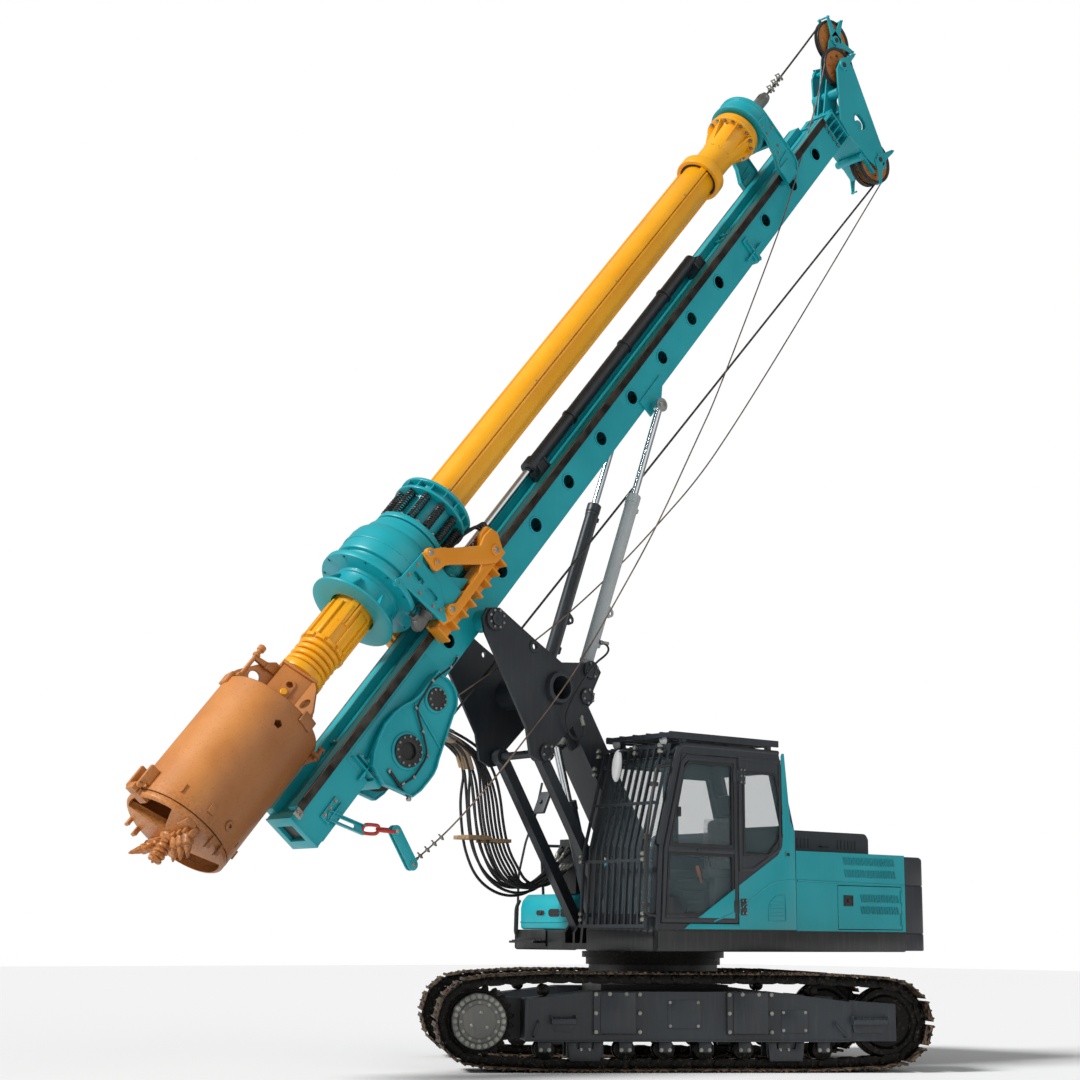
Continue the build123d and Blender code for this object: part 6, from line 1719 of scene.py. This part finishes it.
def tilt_cylinder(side, name, material):
    """One mast cylinder's barrel with its eye, gland, port and lifting lug."""
    barrel = lathe([(0.03, 0.055), (0.06, 0.058), (0.068, 0.075), (0.068, 1.932), (0.076, 1.936), (0.076, 2.024),
        (0.07, 2.03), (0.042, 2.03)], 48, 0.002)
    barrel = drilled(barrel, bar((0, 0, 0.12), (0, 0, 2.1), 0.0395, 32, 0))
    eye = on_axle(flat_ring(0.041, 0.08, -0.066, 0.066, 40, 0.003), 0, 0)
    lug = cut_plate([(-0.06, 0.63), (-0.12, 0.655), (-0.158, 0.69), (-0.162, 0.715), (-0.15, 0.745), (-0.12, 0.765),
        (-0.06, 0.79)], (-0.01, 0.01), 0.003, 14)
    lug = drilled(lug, bar((-0.122, -0.05, 0.71), (-0.122, 0.05, 0.71), 0.02, 20, 0))
    bands = [flat_ring(0.067, 0.073, s, s + 0.03, 40, 0.002) for s in (0.1, 1.9)]
    port = [crate((-0.1, -0.05), (-0.026, 0.026), (0.3, 0.38), 0.006),
        crate((-0.1, -0.05), (-0.022, 0.022), (1.86, 1.91), 0.006),
        bar((-0.084, 0, 0.38), (-0.084, 0, 1.862), 0.008, 10)]
    piece = joined(barrel, eye, lug, *bands, *port)
    place = Matrix.Translation(TILT_FOOT + Vector((0, side * 0.314, 0))) @ Matrix.Rotation(math.atan2(AXIS.x, AXIS.z),
        4, "Y")
    settle(piece, name, material, "mast_cylinders", place, ["mast_cylinders"])


tilt_cylinder(1, "left_mast_cylinder", silver)
tilt_cylinder(-1, "right_mast_cylinder", charcoal)
pins = [bar((-0.11, side * 0.258, 3.44), (-0.11, side * 0.372, 3.44), 0.037, 28) for side in (-1, 1)]
settle(joined(pins), "cylinder_head_pins", zinc, "mast", MAST)
print("mast cylinders turned")

# %% [markdown]
# ## Ropes
# The main rope runs from the drum behind the mast, over two sheaves and down to the kelly's
# swivel, and it is taut. The auxiliary rope is unloaded: behind the mast it sags away, and
# in front it hangs free down to the foot link. The length of each is measured and printed.

# %% Rope routes
MAIN_ROPE, AUX_ROPE = 0.024, 0.016


def on_mast(points, y):
    """Points in the mast's plane, at one Y, in the rig's frame."""
    return [MAST @ Vector((n, y, s)) for n, s in points]


def curve_through(name, points, diameter, material, body):
    """Round cord as one smooth spline guided by points."""
    data = bpy.data.curves.new(name, "CURVE")
    data.dimensions, data.bevel_depth, data.bevel_resolution, data.resolution_u = "3D", diameter / 2, 3, 8
    data.use_fill_caps = True
    spline = data.splines.new("NURBS")
    spline.points.add(len(points) - 1)
    for point, place in zip(spline.points, points):
        point.co = (*place, 1)
    spline.order_u, spline.use_endpoint_u = 3, True
    cord = bpy.data.objects.new(name, data)
    scene.collection.objects.link(cord)
    cord.data.materials.append(material)
    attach(cord, body)
    return cord


def measured(cord):
    """Length of a cord's centre line."""
    line = twin_of(cord)
    line.data.bevel_depth = 0
    only(line)
    bpy.ops.object.convert(target="MESH")
    line = bpy.context.object
    spots = [corner.co for corner in line.data.vertices]
    total = sum((b - a).length for a, b in zip(spots, spots[1:]))
    bpy.data.objects.remove(line)
    return total


def straight(a, b, count):
    """Points on the way from a to b, both left out."""
    return [tuple(p + (q - p) * i / (count + 1) for p, q in zip(a, b)) for i in range(1, count + 1)]


main_line = [(1.04, 7.905), (1.042, 8.3), (1.052, 8.9)]
main_line += arc(MAIN_TOP, 0.268, 0, 118, 12) + arc(REAR, 0.258, 118, 186, 8)
main_line += straight(main_line[-1], (-0.419, -1.6), 6) + [(-0.419, -1.6), (-0.419, -1.64)]
main_rope = curve_through("main_rope", on_mast(main_line, 0.0), MAIN_ROPE, rope_steel, "mast")
FRONT = ((3.2, 0.25, 1.972), (3.076, 0.4, 2.137), (2.9, 0.5, 2.345), (2.587, 0.6, 2.708), (2.29, 0.65, 3.07),
    (1.85, 0.62, 3.52), (1.49, 0.6, 3.95), (1.04, 0.55, 4.54), (0.37, 0.48, 5.45), (-0.35, 0.4, 6.61),
    (-0.61, 0.38, 7.03), (-1.71, 0.28, 9.14), (-1.99, 0.25, 9.72), (-2.3, 0.215, 10.49), (-2.62, 0.165, 11.24))
aux_back = [(-0.85, 8.2), (-0.93, 7.0), (-1.02, 5.6), (-1.085, 4.3), (-1.1, 3.4), (-1.01, 2.49), (-0.93, 1.81),
    (-0.77, 0.91), (-0.56, 0.1), (-0.29, -0.76), (-0.233, -0.96), (-0.231, -1.04)]
over_head = arc(AUX_TOP, 0.236, 4, 109, 12) + arc(REAR, 0.256, 109, 190, 9)
aux_line = [Vector(p) for p in FRONT] + on_mast(over_head, 0.12) + on_mast(aux_back, 0.13)
aux_line = [tuple(p) for p in reversed(aux_line)]
aux_rope = curve_through("aux_rope", aux_line, AUX_ROPE, aged_rope, "mast")
print("main rope", round(measured(main_rope), 2), "m, auxiliary rope", round(measured(aux_rope), 2), "m")


def rope_clips(places, wire):
    """Saddle clips with their U-bolts and nuts, one at each place along a rope, given with its direction."""
    made = []
    for place, aim in places:
        clip = joined(crate((-0.022, 0.022), (-0.012, 0.012), (-0.015, 0.015), 0.004),
            [bar((x, -0.03, 0), (x, 0.036, 0), 0.005, 8, 0) for x in (-0.016, 0.016)],
            bar((-0.021, 0.034, 0), (0.021, 0.034, 0), 0.006, 8, 0),
            [bar((x, -0.026, 0), (x, -0.014, 0), 0.01, 6, 0) for x in (-0.016, 0.016)])
        clip.data.transform(Matrix.Scale(wire / 0.016, 4))
        made.append(turned_to(clip, place, aim))
    return made


hoist = [(MAST @ Vector((1.04 + 0.004 * i, 0, 8.1 + 0.12 * i)), MAST.to_3x3() @ Vector((0.02, 0, 1)))
    for i in range(3)]
main_clips = settle(joined(rope_clips(hoist, MAIN_ROPE)), "main_rope_clips", zinc, "mast")
way = Vector(FRONT[1]) - Vector(FRONT[0])
slack = [(Vector(FRONT[0]) + way * (0.12 + 0.34 * i), way) for i in range(4)]
thimble = bar(MAST @ Vector((LINK_ENDS[1][0], 0.25, LINK_ENDS[1][1])), FRONT[0], 0.014, 12)
aux_clips = settle(joined(rope_clips(slack, AUX_ROPE), thimble), "aux_rope_clips", zinc, "mast")
measured(main_rope)
measured(aux_rope)
for body, centre, radius, half, wire in (("main_winch_drum", MAIN_DRUM, 0.2555, 0.16, MAIN_ROPE),
        ("aux_winch_drum", AUX_DRUM, 0.1545, 0.16, AUX_ROPE)):
    coil = joined(helix(radius, wire / 2, -half, half, 2 * half / wire, 6, 40),
        flat_ring(radius - 0.06, radius - 0.002, -half, half, 48, 0))
    coil.data.transform(Matrix.Translation((centre[0], 0, centre[1])) @ spin(90, "X"))
    settle(coil, body + "_rope", rope_steel, body, MAST)
print("ropes rigged")

# %% [markdown]
# ## Hydraulic hoses
# Twelve hoses hang in one long bight from the mast's right side to a bulkhead beside the
# boom, four on the frame's tubes and the rest a little inside them. Two boards clamp them
# together where they turn. One more serves a mast cylinder. All have crimped ferrules.

# %% Hoses
HOSE_RADIUS, THIN_HOSE = 0.015, 0.022
ROUTE = ((2.4, 3.23, 0, 12), (2.14, 3.15, -8, -8), (2.0, 2.93, -18, -6), (1.985, 2.65, 12, 0), (1.96, 2.37, 14, 0),
    (1.905, 2.11, 16, -4), (1.74, 1.86, 20, -16), (1.48, 1.73, 4, -26), (1.19, 1.745, -10, -28),
    (0.95, 1.89, -18, -18), (0.76, 2.09, -16, 8))
HOSES = ((-0.505, -1.5), (-0.55, 1.5), (-0.61, -0.5), (-0.67, 2.5))
EXTRA = ((-0.47, 0.07), (-0.52, 0.16), (-0.575, 0.25), (-0.63, 0.345), (-0.685, 0.44), (-0.655, 0.115),
    (-0.69, 0.205), (-0.5, 0.345))
CYLINDER_LINE = ((1.02, 0.334, 4.2), (0.992, 0.41, 4.182), (1.02, 0.48, 4.08), (1.263, 0.49, 3.93),
    (1.59, 0.5, 3.487), (1.6, 0.47, 3.32), (1.461, 0.45, 3.15), (1.29, 0.44, 3.232), (1.33, 0.4, 3.42))
ferrule = lathe([(0.015, -0.1), (0.019, -0.096), (0.019, -0.03), (0.024, -0.026), (0.024, 0.004), (0.016, 0.01),
    (0.016, 0.03)], 16, 0.001)


def tube_route(y, spread):
    """Route of one of the frame's tubes from the bulkhead up to the mast side."""
    return [Vector((x + spread * dx * MM, y, z + spread * dz * MM)) for x, z, dx, dz in reversed(ROUTE)]


def inner_route(y, inward):
    """Route of a hose that hangs that far inside the tubes."""
    route = [(0.69, 1.99), (0.93, 1.85 - 0.2 * inward), (1.18, 1.735 + 0.1 * inward),
        (1.48 - 0.5 * inward, 1.725 + 0.3 * inward), (1.72 - inward, 1.85 + 0.2 * inward), (1.86 - inward, 2.11),
        (1.935 - inward, 2.37), (1.975 - inward, 2.65), (1.985 - 0.8 * inward, 2.9),
        (2.09 - 0.5 * inward, 3.1 + 0.2 * inward), (2.33, 3.19 + 0.3 * inward)]
    return [Vector((x, y, z)) for x, z in route]


def ferrules_of(route):
    """A ferrule at the foot and one at the head of a route, each facing outwards."""
    return [turned_to(piece, place, aim) for piece, place, aim in zip(copies(ferrule, [(0, 0, 0)] * 2, True),
        (route[0], route[-1]), (route[0] - route[1], route[-1] - route[-2]))]


routes = [tube_route(y, spread) for y, spread in HOSES] + [inner_route(y, inward) for y, inward in EXTRA]
for number, route in enumerate(routes, 1):
    hose = curve_through(f"hose_run_{number}", route, 2 * HOSE_RADIUS, rubber, "upper")
    if number <= len(HOSES):
        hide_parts(f"hose_{number}")
    ends = ferrules_of(route)
    for piece, label in zip(ends, ("foot", "head")):
        settle(piece, f"hose_{label}_ferrule_{number}", zinc, "upper")
    measured(hose)
    print("hose", number, round(measured(hose), 3), "m")
line = curve_through("cylinder_hose", CYLINDER_LINE, THIN_HOSE, rubber, "triangle")
ends = settle(joined(ferrules_of([Vector(p) for p in CYLINDER_LINE])), "cylinder_hose_ferrules", zinc, "triangle")
bpy.data.objects.remove(ferrule)
measured(line)
print("cylinder hose", round(measured(line), 3), "m")
manifold = [crate((2.412, 2.46), (-0.71, -0.45), (3.185, 3.3), 0.008)]
manifold += [turned_to(lathe([(0.024, 0), (0.024, 0.018), (0.016, 0.022)], 6, 0), (2.459, y, 3.242), (1, 0, 0.2))
    for y, _ in HOSES]
settle(joined(manifold), "hose_manifold", skirt_black, "upper")
wraps = [tube_run([(2.33, y, z), (2.16, y, z - 0.04), (2.06, y, z - 0.14), (2.0, y, z - 0.3)], 0.032, 12)
    for y, z in ((-0.508, 3.205), (-0.55, 3.23), (-0.61, 3.215), (-0.67, 3.24))]
settle(joined(wraps), "hose_sleeve", tape, "upper")
settle(crate((1.775, 2.065), (-0.705, -0.455), (2.213, 2.252), 0.003), "clamp_board", plywood, "upper",
    stands_for=["hose_clamp"])
settle(crate((1.52, 1.772), (-0.715, -0.45), (2.19, 2.225), 0.003), "clamp_board_small", plywood, "upper")
fasten("upper", copies(bolt(0.022, (0, 0, 1)),
    [(x, -0.58, z) for x, z in ((1.8, 2.252), (2.04, 2.252), (1.54, 2.225), (1.745, 2.225))]))
print("hoses hung")

# %% [markdown]
# ## Plated bolts
# The bolts put aside so far become one zinc-plated piece per body.

# %% Bolts of each body
for body, heads in hardware.items():
    settle(joined(heads), body + "_bolts", zinc, body)

# %% [markdown]
# ## Finish
